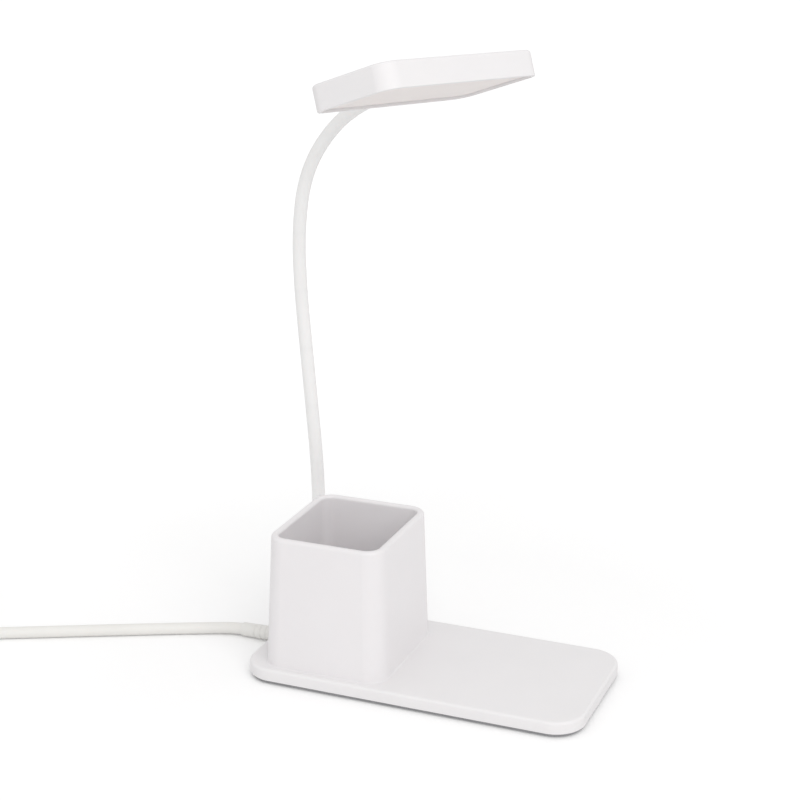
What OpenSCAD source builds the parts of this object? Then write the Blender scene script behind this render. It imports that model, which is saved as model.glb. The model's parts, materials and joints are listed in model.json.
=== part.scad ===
// Desk lamp on a flat plate with a pen cup and a wireless charging area.
// Millimetres, +Z up. The origin is the centre of the plate's footprint, on the table.
// +X runs to the right along the plate, +Y to its back edge.

/* [Plate] */
// Width of the plate, left to right
base_w = 168.5; // [160:0.5:200]
// Depth of the plate, front to back
base_d = 82; // [81:1:100]
// Corner radius of the plate
base_corner = 15; // [13:0.5:17]
// Height of the plate's top face above the table
base_top = 8; // [8:0.1:10]
// Thickness of the cover's side wall
cover_side_t = 1.8; // [1.4:0.1:2]
// Thickness of the cover's top wall
cover_top_t = 1.6; // [1.2:0.1:1.8]
// Radius of the cover's rolled top edge
cover_edge = 1.4; // [0.8:0.1:1.5]
// Thickness of the tray's floor
tray_t = 1.2; // [1:0.1:1.3]
// How far the tray stands back from the cover's side
tray_inset = 1; // [0.6:0.1:1.2]
// Thickness of the tray's locating lip
tray_lip_t = 1; // [0.8:0.1:1.2]
// Height of the tray's locating lip above its floor
tray_lip_h = 1.6; // [1:0.1:1.8]
// How far the rubber pad stands back from the plate's side
pad_inset = 5; // [4.5:0.5:5.5]
// Corner radius of the rubber pad
pad_corner = 9; // [7:0.5:11]
// Thickness of the rubber pad
pad_t = 1.2; // [1:0.1:1.4]
// Depth of the tray's recess for the rubber pad
pad_recess = 0.4; // [0.3:0.1:0.5]

/* [Screws] */
// Shank diameter of every screw
screw_d = 2; // [1.8:0.1:2.2]
// Head diameter of every screw
screw_head_d = 3.8; // [3.4:0.1:4]
// Head thickness of every screw
screw_head_t = 1; // [0.8:0.1:1]
// Length of the tray screws under the head
tray_screw_len = 4.4; // [4:0.1:4.5]
// Length of the cup screws under the head
cup_screw_len = 4; // [3.5:0.1:4.2]
// Length of the head's screws under the head
led_screw_len = 3.4; // [3:0.1:3.6]
// Wall around a screw's pilot hole in a boss
boss_wall = 1.6; // [1.4:0.1:1.8]
// Tray screws, distance in from the plate's left and right sides
screw_inset_x = 24.5; // [24:0.5:26]
// Tray screws, distance in from the plate's front and back
screw_inset_y = 8; // [8:0.5:8.5]
// Seat of the tray screws' heads, above the table
screw_seat_z = 2.3; // [2.2:0.1:2.4]

/* [Pen cup] */
// Strip of plate to the right of the cup, for charging
cup_right = 96.5; // [96:0.5:100]
// Strip of plate behind the cup
cup_back = 8.5; // [8:0.5:10]
// How far the cup's left and right walls lean in up to the rim
cup_lean_x = 2.25; // [1:0.25:3]
// How far the cup's front wall leans in up to the rim
cup_lean_front = 3; // [1:0.25:3.5]
// How far the cup's back wall leans in up to the rim
cup_lean_back = 1; // [0.5:0.25:1.5]
// Height of the cup above the plate
cup_h = 65; // [50:1:90]
// Outer corner radius of the cup
cup_corner = 10; // [9:0.5:12]
// Thickness of the cup's wall
cup_wall = 3.6; // [3:0.1:4.5]
// Thickness of the cup's floor
cup_floor = 3.2; // [3.2:0.1:5]
// Radius of the cup's rounded rim
cup_rim = 1.6; // [1:0.1:1.7]
// Flare where the cup meets the plate
cup_flare = 0.8; // [0.6:0.1:0.9]
// Strip of plate to the left of the cup
cup_left = 9.5; // [9.5:0.5:12]
// Strip of plate in front of the cup
cup_front = 4; // [3:0.5:5]
// Cup screws, distance from the cup's middle, left and right
cup_screw_x = 18; // [14:1:20]
// Cup screws, distance from the cup's middle, front and back
cup_screw_y = 20; // [14:1:22]

/* [Neck] */
// Diameter of the neck's sleeve
neck_d = 6.5; // [6:0.1:7]
// Thickness of the sleeve's wall
sleeve_wall = 0.8; // [0.6:0.1:0.9]
// Neck's middle, distance from the plate's left side
neck_left = 7.8; // [7.6:0.1:8]
// Neck's middle, distance from the plate's back
neck_back = 9; // [8.8:0.1:9.1]
// Direction in which the neck leans over, from +X
neck_azimuth = -25; // [-30:1:-20]
// Sideways turn of the last length with the head, out of the neck's plane
head_turn = 3.75; // [0:0.25:5]
// Length of each of the two fixed lengths at the foot
stub_len = 32.8; // [32:0.2:40]
// Length of each moving length of the neck
neck_len = 29; // [24:0.5:34]
// Gap between the round end of a length and the next one
neck_gap = 0.3; // [0.2:0.05:0.4]
// Thickness of the stem's flange on the plate
stem_flange_t = 1; // [0.8:0.1:1.4]
// Wall of the threaded stem
stem_wall = 0.5; // [0.45:0.05:0.55]
// Height of the nut on the stem
stem_nut_h = 2.2; // [1.8:0.1:2.4]
// Height of the collar at the foot of the neck
collar_h = 6; // [4:0.5:10]
// Wall of the collar at the foot of the neck
collar_wall = 0.7; // [0.6:0.05:0.75]
// Wall of the collar behind the head
head_collar_wall = 1.1; // [0.9:0.1:1.2]
// Length of the collar behind the head
head_collar_len = 5; // [3:0.5:8]

/* [Head] */
// Length of the head, across the neck
head_w = 99; // [90:1:105]
// Depth of the head, away from the neck
head_d = 50; // [48:1:60]
// Thickness of the head
head_t = 12; // [11.5:0.1:14]
// Corner radius of the head
head_corner = 8.5; // [8:0.5:11]
// Wall of the head's shell
head_wall = 1.8; // [1.4:0.1:2.2]
// Radius of the shell's rolled top edge
head_edge = 1.6; // [1:0.1:1.7]
// Width of the ledge that the diffuser seats on
head_ledge = 1.2; // [1:0.1:1.6]
// Depth of the diffuser's face inside the shell's rim
diffuser_recess = 1.2; // [0.8:0.1:1.5]
// Thickness of the diffuser's face
diffuser_t = 1.4; // [1:0.1:1.6]
// Height of the diffuser, from its face to the top of its edge
diffuser_h = 4.6; // [4:0.1:5]
// Thickness of the diffuser's edge
diffuser_edge = 1; // [0.8:0.1:1.2]
// Length of the light board, along the head
led_board_w = 70; // [66:1:74]
// Depth of the light board
led_board_d = 30; // [28:1:32]
// Thickness of the light board
led_board_t = 1; // [0.8:0.1:1.2]
// Thickness of the reflector sheet
reflector_t = 0.3; // [0.2:0.05:0.4]
// Rows of lamps on the light board
led_rows = 3; // [2:1:3]
// Lamps in each row
led_columns = 8; // [4:1:8]
// Side of each lamp
led_side = 2.8; // [2:0.1:3]
// Height of each lamp
led_h = 0.8; // [0.6:0.1:1]
// Length of the neck's anchor inside the head
anchor_len = 7; // [5:0.5:7.5]
// Width of the neck's anchor
anchor_w = 12; // [10:0.5:16]

/* [Charger] */
// Middle of the charging coil, distance from the plate's right side
charge_right = 48.5; // [44:0.5:52]
// Outer diameter of the charging coil
coil_d = 43; // [36:1:46]
// Hole in the charging coil
coil_hole = 20; // [14:1:24]
// Thickness of the charging coil
coil_t = 1; // [0.8:0.1:1.2]
// Side of the ferrite sheet
ferrite_side = 50; // [46:1:52]
// Thickness of the ferrite sheet
ferrite_t = 0.8; // [0.5:0.1:1]
// Width of the main board
board_w = 17; // [15:1:17]
// Length of the main board
board_d = 56; // [52:1:60]
// Thickness of the main board
board_t = 1; // [0.8:0.1:1.2]
// Gap between the cup's middle edge line and the main board
board_gap = 3; // [2:0.5:3.5]
// Height of the posts under the main board
board_post_h = 0.9; // [0.7:0.1:1]
// Diameter of the posts under the main board
board_post_d = 3; // [2.6:0.1:3.2]
// Side of the largest part on the main board
choke_side = 7; // [5:0.5:9]
// Height of the largest part on the main board
choke_h = 2; // [1.6:0.1:2.1]
// How far the ballast plate stands back from the cup's left side
ballast_left = 6.5; // [6.5:0.5:10]
// How far the ballast plate stands back from the cup's front and back
ballast_margin = 7.75; // [7.5:0.25:10]
// Thickness of the ballast plate
ballast_t = 2.2; // [1.6:0.1:2.4]
// Diameter of the pegs that locate the ballast plate
peg_d = 3; // [2.5:0.1:4]
// Diameter of the touch electrode
touch_d = 12; // [10:0.5:14]
// Thickness of the touch electrode
touch_t = 0.3; // [0.2:0.05:0.4]
// Touch electrode, distance in from the plate's right side and front
touch_inset = 13; // [12.5:0.5:14]
// Side of the touch sensor's board
touch_board_side = 11; // [10:0.5:12]

/* [Cord] */
// Diameter of the cord
cord_d = 6; // [5.8:0.1:6.2]
// Where the cord leaves the left side, behind the plate's middle
cord_y = 3.4; // [3:0.1:4]
// Height of the cord's exit above the table
cord_z = 4.2; // [4:0.1:4.3]
// Diameter of the boot at the plate
boot_d_big = 7.6; // [7.2:0.1:8]
// Diameter of the boot at its far end
boot_d_small = 7; // [6.8:0.1:7.1]
// Diameter of the boot where it passes through the wall
boot_d_neck = 5.9; // [5.8:0.1:6]
// Width of the boot's flange inside the wall
boot_flange_w = 9; // [8:0.5:12]
// Thickness of the boot's flange inside the wall
boot_flange_t = 1.4; // [1:0.1:1.6]
// Thickness of the strap round the coil
tie_t = 0.8; // [0.6:0.1:1]
// Width of the strap round the coil
tie_w = 8; // [5:0.5:12]
// Width of the plug's grip
plug_w = 15; // [14:0.5:17]
// Height of the plug's grip
plug_h = 8; // [7:0.5:8]
// Length of the plug's grip
plug_len = 29; // [22:1:34]
// Width of the plug's metal shell
shell_w = 12; // [11.8:0.1:12.2]
// Height of the plug's metal shell
shell_h = 4.5; // [4.4:0.1:4.6]
// Length of the plug's metal shell
shell_len = 14; // [12:1:16]
// Thickness of the plug's metal shell
shell_t = 0.35; // [0.25:0.05:0.4]

/* [Fits] */
// Clearance between pieces that fit into each other
fit = 0.15; // [0.1:0.05:0.2]
// Clearance round a screw's shank, a core or a cord
snug = 0.05; // [0.03:0.01:0.08]
// Clearance round a screw's head or in its clearance hole
loose = 0.2; // [0.15:0.05:0.25]

/* [Hidden] */
$fn = 48;

// Heights above the table
tray_z = pad_t - pad_recess;
cover_z = tray_z + tray_t;
ceiling_z = base_top - cover_top_t;
boss_z = cover_z + tray_lip_h - 0.2;
post_top_z = cover_z + board_post_h;
cup_rim_z = base_top + cup_h;

// Places on the plate
left_x = -base_w / 2;
right_x = base_w / 2;
cup_w_low = base_w - cup_left - cup_right;
cup_d_low = base_d - cup_front - cup_back;
cup_w_top = cup_w_low - 2 * cup_lean_x;
cup_d_top = cup_d_low - cup_lean_front - cup_lean_back;
cup_x = left_x + cup_left + cup_w_low / 2;
cup_y = -base_d / 2 + cup_front + cup_d_low / 2;
cup_shift = (cup_lean_front - cup_lean_back) / 2;
ballast_w = cup_w_low - ballast_left;
ballast_d = cup_d_low - 2 * ballast_margin;
neck_x = left_x + neck_left;
neck_y = base_d / 2 - neck_back;
charge_x = right_x - charge_right;
board_x = cup_x + cup_w_low / 2 + board_gap + board_w / 2;
ballast_x = cup_x + cup_w_low / 2 - ballast_w / 2;
touch_x = right_x - touch_inset;
touch_y = -base_d / 2 + touch_inset;
screw_places = [for (sx = [-1, 1], sy = [-1, 1])
    [sx * (base_w / 2 - screw_inset_x), sy * (base_d / 2 - screw_inset_y)]];
cup_screw_places = [for (sx = [-1, 1], sy = [-1, 1])
    [cup_x + sx * cup_screw_x, cup_y + sy * cup_screw_y]];
post_places = [for (sx = [-1, 1], sy = [-1, 1])
    [board_x + sx * (board_w / 2 - board_post_d / 2 - 0.5), sy * (board_d / 2 - board_post_d)]];
peg_places = [for (sy = [-1, 1]) [ballast_x, cup_y + sy * (ballast_d / 2 - peg_d * 2)]];

// Diameters that follow from the fits
pilot_d = screw_d + 2 * snug;
boss_d = screw_d + 2 * boss_wall;
sleeve_bore = neck_d - 2 * sleeve_wall;
core_d = sleeve_bore - 2 * snug;
core_end = neck_d / 2 + 0.3;
stem_bore = core_d + 2 * snug;
stem_d = stem_bore + 2 * stem_wall;
collar_bore = neck_d + 2 * snug;
collar_d = collar_bore + 2 * collar_wall;
head_collar_d = collar_bore + 2 * head_collar_wall;
nut_d = stem_d + 2;
stem_flange_d = neck_d + 0.3;
core_foot_z = boss_z;

// The neck's middle line: arcs that follow each other in one upright plane, with the bend of
// each of the fixed lengths and of the moving lengths in degrees, towards the head
neck_z = base_top + stem_flange_t;
stub_bends = [5, -7];
neck_bends = [-5, 0, 0, 5, 13, 27, 18, 15.5];
all_bends = concat(stub_bends, neck_bends);
all_lengths = concat([stub_len, stub_len], [for (b = neck_bends) neck_len]);
first_joint = len(stub_bends);
last_place = len(all_bends);
turned_place = last_place - 1;
deg = 180 / PI;

// The lamps on the light board
led_pitch_x = led_board_d / (led_rows + 0.4);
led_pitch_y = led_board_w / (led_columns + 0.6);
ledge_z = -head_t / 2 + diffuser_recess + diffuser_h;
head_ceiling_z = head_t / 2 - head_wall;
led_board_x = head_d - head_wall - head_ledge - 1.6 - led_board_d / 2;
led_board_z = ledge_z;
led_screw_inset = 3.6;
led_screw_places = [for (sx = [-1, 1], sy = [-1, 1])
    [led_board_x + sx * (led_board_d / 2 - led_screw_inset), sy * (led_board_w / 2 - 1.4)]];

// The cord's middle line on the table, from the boot to the coil, and from the coil to the plug
cord_start = [left_x - 1, cord_y, cord_z];
boot_end = [-105, 4, 3.6];
cord_route = [
    boot_end, [-110.5, 3.5, 3.3], [-115.5, 2.1, 3.1], [-120.7, 0.1, 3], [-126, -2.3, 3],
    [-131, -4.5, 3], [-140.2, -8.7, 3], [-151, -13.8, 3], [-163.1, -19.5, 3], [-176.7, -26, 3],
    [-190.3, -32.5, 3], [-203.9, -39, 3], [-217.4, -45.5, 3], [-231, -52, 3.1],
    [-245, -58.7, 3.3], [-259, -65.4, 3.6], [-272.4, -71.8, 3.8]
];
tail_route = [
    [-331.5, -34.5, 9.8], [-331.5, -27.5, 9.8], [-331.5, -20.5, 9.4], [-331.5, -13.5, 8.1],
    [-331.5, -6.5, 6.4], [-331.5, 0.5, 5], [-331.5, 7.5, 4.2], [-331.5, 12.5, 4]
];
cord_sides = 10;
winding_middle = [-290.2, -34.5];
winding_radius = 34.8;
winding_width = 19;
winding_layers = 2;
plug_y = tail_route[len(tail_route) - 1][1];
plug_x = tail_route[len(tail_route) - 1][0];
plug_z = tail_route[len(tail_route) - 1][2];

// ---- Functions ----

// Tilt of the neck's middle line from upright, at place i
function tilt_at(i) = i == 0 ? 0 : tilt_at(i - 1) + all_bends[i - 1];

// Radius of arc i
function arc_radius(i) = all_lengths[i] * deg / all_bends[i];

// Step along arc i, as [across, up] in the neck's plane
function arc_step(i) = all_bends[i] == 0
    ? all_lengths[i] * [sin(tilt_at(i)), cos(tilt_at(i))]
    : arc_radius(i) * [cos(tilt_at(i)) - cos(tilt_at(i + 1)), sin(tilt_at(i + 1)) - sin(tilt_at(i))];

// Place i on the neck's middle line, as [across, up] in the neck's plane
function place_at(i) = i == 0 ? [0, neck_z] : place_at(i - 1) + arc_step(i - 1);

function unit(v) = v / norm(v);

// Direction of a route at its point i
function heading(route, i) = unit(route[min(i + 1, len(route) - 1)] - route[max(i - 1, 0)]);

// Ring of points round a route at its point i
function ring(route, i, radius, sides) =
    let (ahead = heading(route, i), side = unit(cross([0, 0, 1], ahead)), up = cross(ahead, side))
    [for (k = [0 : sides - 1])
        route[i] + radius * (cos(360 * k / sides - 90) * side + sin(360 * k / sides - 90) * up)];

// ---- Shared shapes ----

// Rectangle with round corners, centred
module rounded_rect(w, d, r) {
    square([w - 2 * r, d], center = true);
    square([w, d - 2 * r], center = true);
    for (sx = [-1, 1], sy = [-1, 1])
        translate([sx * (w / 2 - r), sy * (d / 2 - r)]) circle(r);
}

// Outline of a half section whose top edge is rolled
module rolled_section(half, h, edge) {
    square([half, h - edge]);
    square([half - edge, h]);
    translate([half - edge, h - edge]) circle(edge);
}

// Flat block with round corners and a rolled top edge, standing on z = 0
module rolled_block(w, d, h, r, edge) {
    for (sx = [-1, 1], sy = [-1, 1])
        translate([sx * (w / 2 - r), sy * (d / 2 - r), 0])
            rotate_extrude() intersection() {
                rolled_section(r, h, edge);
                square([r, h]);
            }
    translate([0, d / 2 - r, 0]) rotate([90, 0, 0]) linear_extrude(d - 2 * r)
        for (side = [0, 1]) mirror([side, 0]) intersection() {
            rolled_section(w / 2, h, edge);
            square([w / 2, h]);
        }
    translate([-(w / 2 - r), 0, 0]) rotate([90, 0, 90]) linear_extrude(w - 2 * r)
        for (side = [0, 1]) mirror([side, 0]) intersection() {
            rolled_section(d / 2, h, edge);
            square([d / 2, h]);
        }
}

// Upright screw with its head below z = 0 and its shank above
module screw(length) {
    translate([0, 0, -screw_head_t]) cylinder(h = screw_head_t, d = screw_head_d);
    cylinder(h = length, d = screw_d);
}

// Thin slab of the cup's outline, for hull()
module cup_slab(z, w, d, r) {
    translate([cup_x, cup_y + cup_shift * (z - base_top) / cup_h, z])
        linear_extrude(0.01) rounded_rect(w, d, r);
}

// Width or depth of the cup's outside at a height above the plate
function cup_size(low, top, z) = low + (top - low) * z / cup_h;

// Place i on the neck's middle line, in its upright plane
function spot_at(i) =
    let (p = place_at(i)) [neck_x + p[0] * cos(neck_azimuth), neck_y + p[0] * sin(neck_azimuth), p[1]];

// Shape placed at place i of the neck, with +Z along the neck and +X towards its bend
module at_place(i) {
    spot = spot_at(turned_place);
    lean = tilt_at(turned_place);
    across = [-cos(lean) * cos(neck_azimuth), -cos(lean) * sin(neck_azimuth), sin(lean)];
    translate(spot) rotate(i < turned_place ? 0 : head_turn, across) translate(-spot)
        translate(spot_at(i)) rotate([0, tilt_at(i), neck_azimuth]) children();
}

// Round bar or tube along arc i of the neck, between two distances from its start
module arc_tube(i, d, bore, from, to) {
    bend = all_bends[i];
    at_place(i)
        if (bend == 0)
            translate([0, 0, from]) difference() {
                cylinder(h = to - from, d = d);
                if (bore > 0) translate([0, 0, -1]) cylinder(h = to - from + 2, d = bore);
            }
        else
            mirror([bend > 0 ? 1 : 0, 0, 0])
                translate([-abs(arc_radius(i)), 0, 0]) rotate([90, 0, 0])
                    rotate([0, 0, abs(bend) * from / all_lengths[i]])
                        rotate_extrude(angle = abs(bend) * (to - from) / all_lengths[i], $fn = 96)
                            translate([abs(arc_radius(i)), 0]) difference() {
                                circle(d = d);
                                if (bore > 0) circle(d = bore);
                            }
}

// Ball at place i, for a length's round end or to join two arcs
module ball_at(i, d) {
    at_place(i) rotate([0, 0, 40]) sphere(d = d);
}

// Tube swept along a route
module swept_tube(route, d, sides) {
    last = len(route) - 1;
    points = [for (i = [0 : last]) each ring(route, i, d / 2, sides)];
    walls = [for (i = [0 : last - 1], k = [0 : sides - 1])
        [i * sides + k, (i + 1) * sides + k, (i + 1) * sides + (k + 1) % sides,
         i * sides + (k + 1) % sides]];
    ends = [[for (k = [0 : sides - 1]) k],
            [for (k = [sides - 1 : -1 : 0]) last * sides + k]];
    polyhedron(points, concat(walls, ends));
}

// Shape in the head's own axes: +X away from the neck, +Z towards the head's top
module at_head() {
    at_place(last_place) rotate([0, -90, 0]) children();
}

// Opening in the plate's left side for the cord's boot
module boot_hole(d) {
    translate([left_x - 1, cord_y, cord_z]) rotate([0, 90, 0]) cylinder(h = cover_side_t + boot_flange_t + 1, d = d);
}

// ---- Plate ----

module base_cover() {
    color([0.95, 0.94, 0.94]) difference() {
        union() {
            difference() {
                translate([0, 0, cover_z])
                    rolled_block(base_w, base_d, base_top - cover_z, base_corner, cover_edge);
                translate([0, 0, cover_z - 1])
                    linear_extrude(ceiling_z - cover_z + 1)
                        rounded_rect(base_w - 2 * cover_side_t, base_d - 2 * cover_side_t,
                            base_corner - cover_side_t);
            }
            for (p = screw_places)
                translate([p[0], p[1], boss_z]) cylinder(h = ceiling_z - boss_z + 0.4, d = boss_d);
        }
        for (p = screw_places)
            translate([p[0], p[1], boss_z - 1])
                cylinder(h = screw_seat_z + tray_screw_len + loose - boss_z + 1, d = pilot_d);
        for (p = cup_screw_places)
            translate([p[0], p[1], ceiling_z - 1])
                cylinder(h = cover_top_t + 2, d = screw_d + 2 * loose);
        translate([neck_x, neck_y, ceiling_z - 1]) cylinder(h = cover_top_t + 2, d = stem_d + 2 * snug);
        boot_hole(boot_d_neck + 2 * snug);
    }
}

module base_tray() {
    lip = cover_side_t + fit;
    color([0.9, 0.9, 0.9]) difference() {
        union() {
            translate([0, 0, tray_z]) linear_extrude(tray_t)
                rounded_rect(base_w - 2 * tray_inset, base_d - 2 * tray_inset,
                    base_corner - tray_inset);
            translate([0, 0, cover_z]) linear_extrude(tray_lip_h) difference() {
                rounded_rect(base_w - 2 * lip, base_d - 2 * lip, base_corner - lip);
                rounded_rect(base_w - 2 * lip - 2 * tray_lip_t, base_d - 2 * lip - 2 * tray_lip_t,
                    base_corner - lip - tray_lip_t);
            }
            for (p = screw_places)
                translate([p[0], p[1], cover_z]) cylinder(h = boss_z - cover_z, d = boss_d + 0.8);
            for (p = post_places)
                translate([p[0], p[1], cover_z]) {
                    cylinder(h = board_post_h, d = board_post_d);
                    cylinder(h = board_post_h + board_t + 0.5, d = board_post_d / 2);
                }
            for (p = peg_places)
                translate([p[0], p[1], cover_z]) cylinder(h = ballast_t, d = peg_d);
        }
        translate([0, 0, tray_z - 1]) linear_extrude(pad_recess + 1)
            rounded_rect(base_w - 2 * pad_inset + 2 * fit, base_d - 2 * pad_inset + 2 * fit,
                pad_corner + fit);
        for (p = screw_places) {
            translate([p[0], p[1], tray_z - 1])
                cylinder(h = screw_seat_z - tray_z + 1, d = screw_head_d + 2 * loose);
            translate([p[0], p[1], screw_seat_z - 1])
                cylinder(h = boss_z - screw_seat_z + 2, d = screw_d + 2 * loose);
        }
        translate([neck_x, neck_y, cover_z]) cylinder(h = tray_lip_h + 1, d = stem_d + 2 * loose);
        boot_hole(boot_d_neck + 2 * snug);
        translate([left_x + cover_side_t, cord_y - boot_flange_w / 2 - fit, cover_z])
            cube([boot_flange_t + fit, boot_flange_w + 2 * fit, tray_lip_h + 1]);
    }
}

module base_pad() {
    color([0.78, 0.78, 0.78]) linear_extrude(pad_t)
        rounded_rect(base_w - 2 * pad_inset, base_d - 2 * pad_inset, pad_corner);
}

module tray_screws() {
    color([0.6, 0.6, 0.62]) for (p = screw_places)
        translate([p[0], p[1], screw_seat_z]) screw(tray_screw_len);
}

module ballast_plate() {
    color([0.5, 0.52, 0.55]) difference() {
        translate([ballast_x, cup_y, cover_z]) linear_extrude(ballast_t)
            rounded_rect(ballast_w, ballast_d, 3);
        for (p = peg_places)
            translate([p[0], p[1], cover_z - 1]) cylinder(h = ballast_t + 2, d = peg_d + 2 * fit);
    }
}

// ---- Pen cup ----

module pen_cup() {
    floor_z = base_top + cup_floor;
    in_low = 2 * cup_wall;
    in_corner = cup_corner - cup_wall;
    color([0.96, 0.95, 0.96]) difference() {
        union() {
            hull() {
                cup_slab(base_top, cup_w_low, cup_d_low, cup_corner);
                for (a = [0 : 30 : 90])
                    cup_slab(cup_rim_z - cup_rim + (cup_rim - 0.01) * sin(a),
                        cup_w_top - 2 * cup_rim * (1 - cos(a)),
                        cup_d_top - 2 * cup_rim * (1 - cos(a)),
                        cup_corner - cup_rim * (1 - cos(a)));
            }
            hull() {
                cup_slab(base_top, cup_w_low + 2 * cup_flare, cup_d_low + 2 * cup_flare,
                    cup_corner + cup_flare);
                cup_slab(base_top + cup_flare, cup_size(cup_w_low, cup_w_top, cup_flare),
                    cup_size(cup_d_low, cup_d_top, cup_flare), cup_corner);
            }
        }
        hull() {
            cup_slab(floor_z, cup_w_low - in_low - 3, cup_d_low - in_low - 3, in_corner - 1.5);
            cup_slab(floor_z + 1.5, cup_size(cup_w_low, cup_w_top, cup_floor + 1.5) - in_low,
                cup_size(cup_d_low, cup_d_top, cup_floor + 1.5) - in_low, in_corner);
            cup_slab(cup_rim_z + 1, cup_w_top - in_low, cup_d_top - in_low, in_corner);
        }
        hull() {
            cup_slab(cup_rim_z - cup_rim, cup_w_top - in_low, cup_d_top - in_low, in_corner);
            cup_slab(cup_rim_z - cup_rim * 0.3, cup_w_top - in_low + 0.6 * cup_rim,
                cup_d_top - in_low + 0.6 * cup_rim, in_corner + 0.3 * cup_rim);
            cup_slab(cup_rim_z + 0.1, cup_w_top - in_low + 1.6 * cup_rim,
                cup_d_top - in_low + 1.6 * cup_rim, in_corner + 0.8 * cup_rim);
        }
        for (p = cup_screw_places)
            translate([p[0], p[1], base_top - 1])
                cylinder(h = cup_screw_len - cover_top_t + loose + 1, d = pilot_d);
    }
}

module cup_screws() {
    color([0.6, 0.6, 0.62]) for (p = cup_screw_places)
        translate([p[0], p[1], ceiling_z]) screw(cup_screw_len);
}

// ---- Charger ----

module charging_coil() {
    color([0.72, 0.43, 0.2]) translate([charge_x, 0, ceiling_z - coil_t])
        rotate_extrude() translate([coil_hole / 2, 0]) square([(coil_d - coil_hole) / 2, coil_t]);
}

module ferrite_sheet() {
    color([0.2, 0.2, 0.22]) translate([charge_x, 0, ceiling_z - coil_t - ferrite_t])
        linear_extrude(ferrite_t) rounded_rect(ferrite_side, ferrite_side, 2);
}

module main_board() {
    color([0.1, 0.4, 0.22]) difference() {
        translate([board_x, 0, post_top_z]) linear_extrude(board_t)
            rounded_rect(board_w, board_d, 1);
        for (p = post_places)
            translate([p[0], p[1], post_top_z - 1])
                cylinder(h = board_t + 2, d = board_post_d / 2 + 2 * snug);
    }
}

// Part of the main board, at a distance behind the board's middle
module block_on_board(y, side, h) {
    translate([board_x - side / 2, y - side / 2, post_top_z + board_t]) cube([side, side, h]);
}

module board_parts() {
    color([0.15, 0.15, 0.16]) {
        block_on_board(-board_d / 4, choke_side, choke_h);
        block_on_board(0, choke_side * 0.7, choke_h / 2);
        block_on_board(board_d / 6, choke_side * 0.5, choke_h * 0.7);
        block_on_board(board_d / 3, choke_side * 0.4, choke_h * 0.6);
    }
}

module touch_electrode() {
    color([0.8, 0.5, 0.25]) translate([touch_x, touch_y, ceiling_z - touch_t])
        cylinder(h = touch_t, d = touch_d);
}

module touch_board() {
    color([0.1, 0.4, 0.22]) translate([touch_x, touch_y, ceiling_z - touch_t - board_t])
        linear_extrude(board_t) rounded_rect(touch_board_side, touch_board_side, 1);
}

// ---- Neck ----

module neck_stem() {
    color([0.7, 0.7, 0.72]) translate([neck_x, neck_y, core_foot_z]) difference() {
        union() {
            cylinder(h = base_top - core_foot_z, d = stem_d);
            translate([0, 0, base_top - core_foot_z]) cylinder(h = stem_flange_t, d = stem_flange_d);
        }
        translate([0, 0, -1]) cylinder(h = neck_z - core_foot_z + 2, d = stem_bore);
    }
}

module neck_nut() {
    color([0.75, 0.72, 0.6]) translate([neck_x, neck_y, ceiling_z - stem_nut_h]) difference() {
        rotate([0, 0, -10]) cylinder(h = stem_nut_h, d = nut_d, $fn = 6);
        translate([0, 0, -1]) cylinder(h = stem_nut_h + 2, d = stem_d + 2 * snug);
    }
}

module neck_collar() {
    color([0.94, 0.94, 0.94]) translate([neck_x, neck_y, base_top]) difference() {
        union() {
            cylinder(h = collar_h / 3, d = collar_d);
            translate([0, 0, collar_h / 3])
                cylinder(h = collar_h * 2 / 3, d1 = collar_d, d2 = collar_d - collar_wall / 2);
        }
        translate([0, 0, -1]) cylinder(h = collar_h + 2, d = collar_bore + 0.3);
    }
}

// Sleeve of the fixed lengths at the foot
module sleeve_foot() {
    difference() {
        union() {
            arc_tube(0, neck_d, 0, 0, stub_len);
            ball_at(1, neck_d + 2 * snug);
            arc_tube(1, neck_d, 0, 0, stub_len);
        }
        arc_tube(0, sleeve_bore, 0, -1, stub_len);
        ball_at(1, sleeve_bore + 2 * snug);
        arc_tube(1, sleeve_bore, 0, 0, stub_len + 1);
    }
    ball_at(first_joint, neck_d - 2 * snug);
}

// Sleeve of moving length k, counted from 1 at the foot
module sleeve_length(k) {
    i = first_joint + k - 1;
    last = k == len(neck_bends);
    difference() {
        union() {
            arc_tube(i, neck_d, sleeve_bore, 0, neck_len);
            if (!last) ball_at(i + 1, neck_d - 2 * snug);
        }
        ball_at(i, neck_d + 2 * neck_gap);
    }
}

// Core of moving length k, inside its sleeve
module core_length(k) {
    i = first_joint + k - 1;
    start = neck_d / 2 + neck_gap + 0.5;
    last = k == len(neck_bends);
    arc_tube(i, core_d, 0, start, last ? neck_len : neck_len - core_end);
    if (last) at_place(i + 1) translate([0, 0, -1])
        cylinder(h = head_wall + anchor_len + 1, d = core_d - 2 * snug);
}

module neck_sleeve(k) {
    color([0.95, 0.95, 0.95]) if (k == 0) sleeve_foot(); else sleeve_length(k);
}

module neck_core(k) {
    color([0.6, 0.6, 0.62])
        if (k == 0) {
            translate([neck_x, neck_y, core_foot_z])
                cylinder(h = neck_z - core_foot_z + 1, d = core_d - 2 * snug);
            arc_tube(0, core_d, 0, 0, stub_len);
            ball_at(1, core_d + snug);
            arc_tube(1, core_d, 0, 0, stub_len - core_end);
        }
        else core_length(k);
}

// ---- Head ----

module head_collar() {
    color([0.94, 0.94, 0.94]) at_head() translate([-head_collar_len, 0, 0]) rotate([0, 90, 0])
        difference() {
            cylinder(h = head_collar_len, d1 = head_collar_d - 0.5, d2 = head_collar_d + 1.2);
            translate([0, 0, -1]) cylinder(h = head_collar_len + 2, d = collar_bore + 0.3);
        }
}

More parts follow.
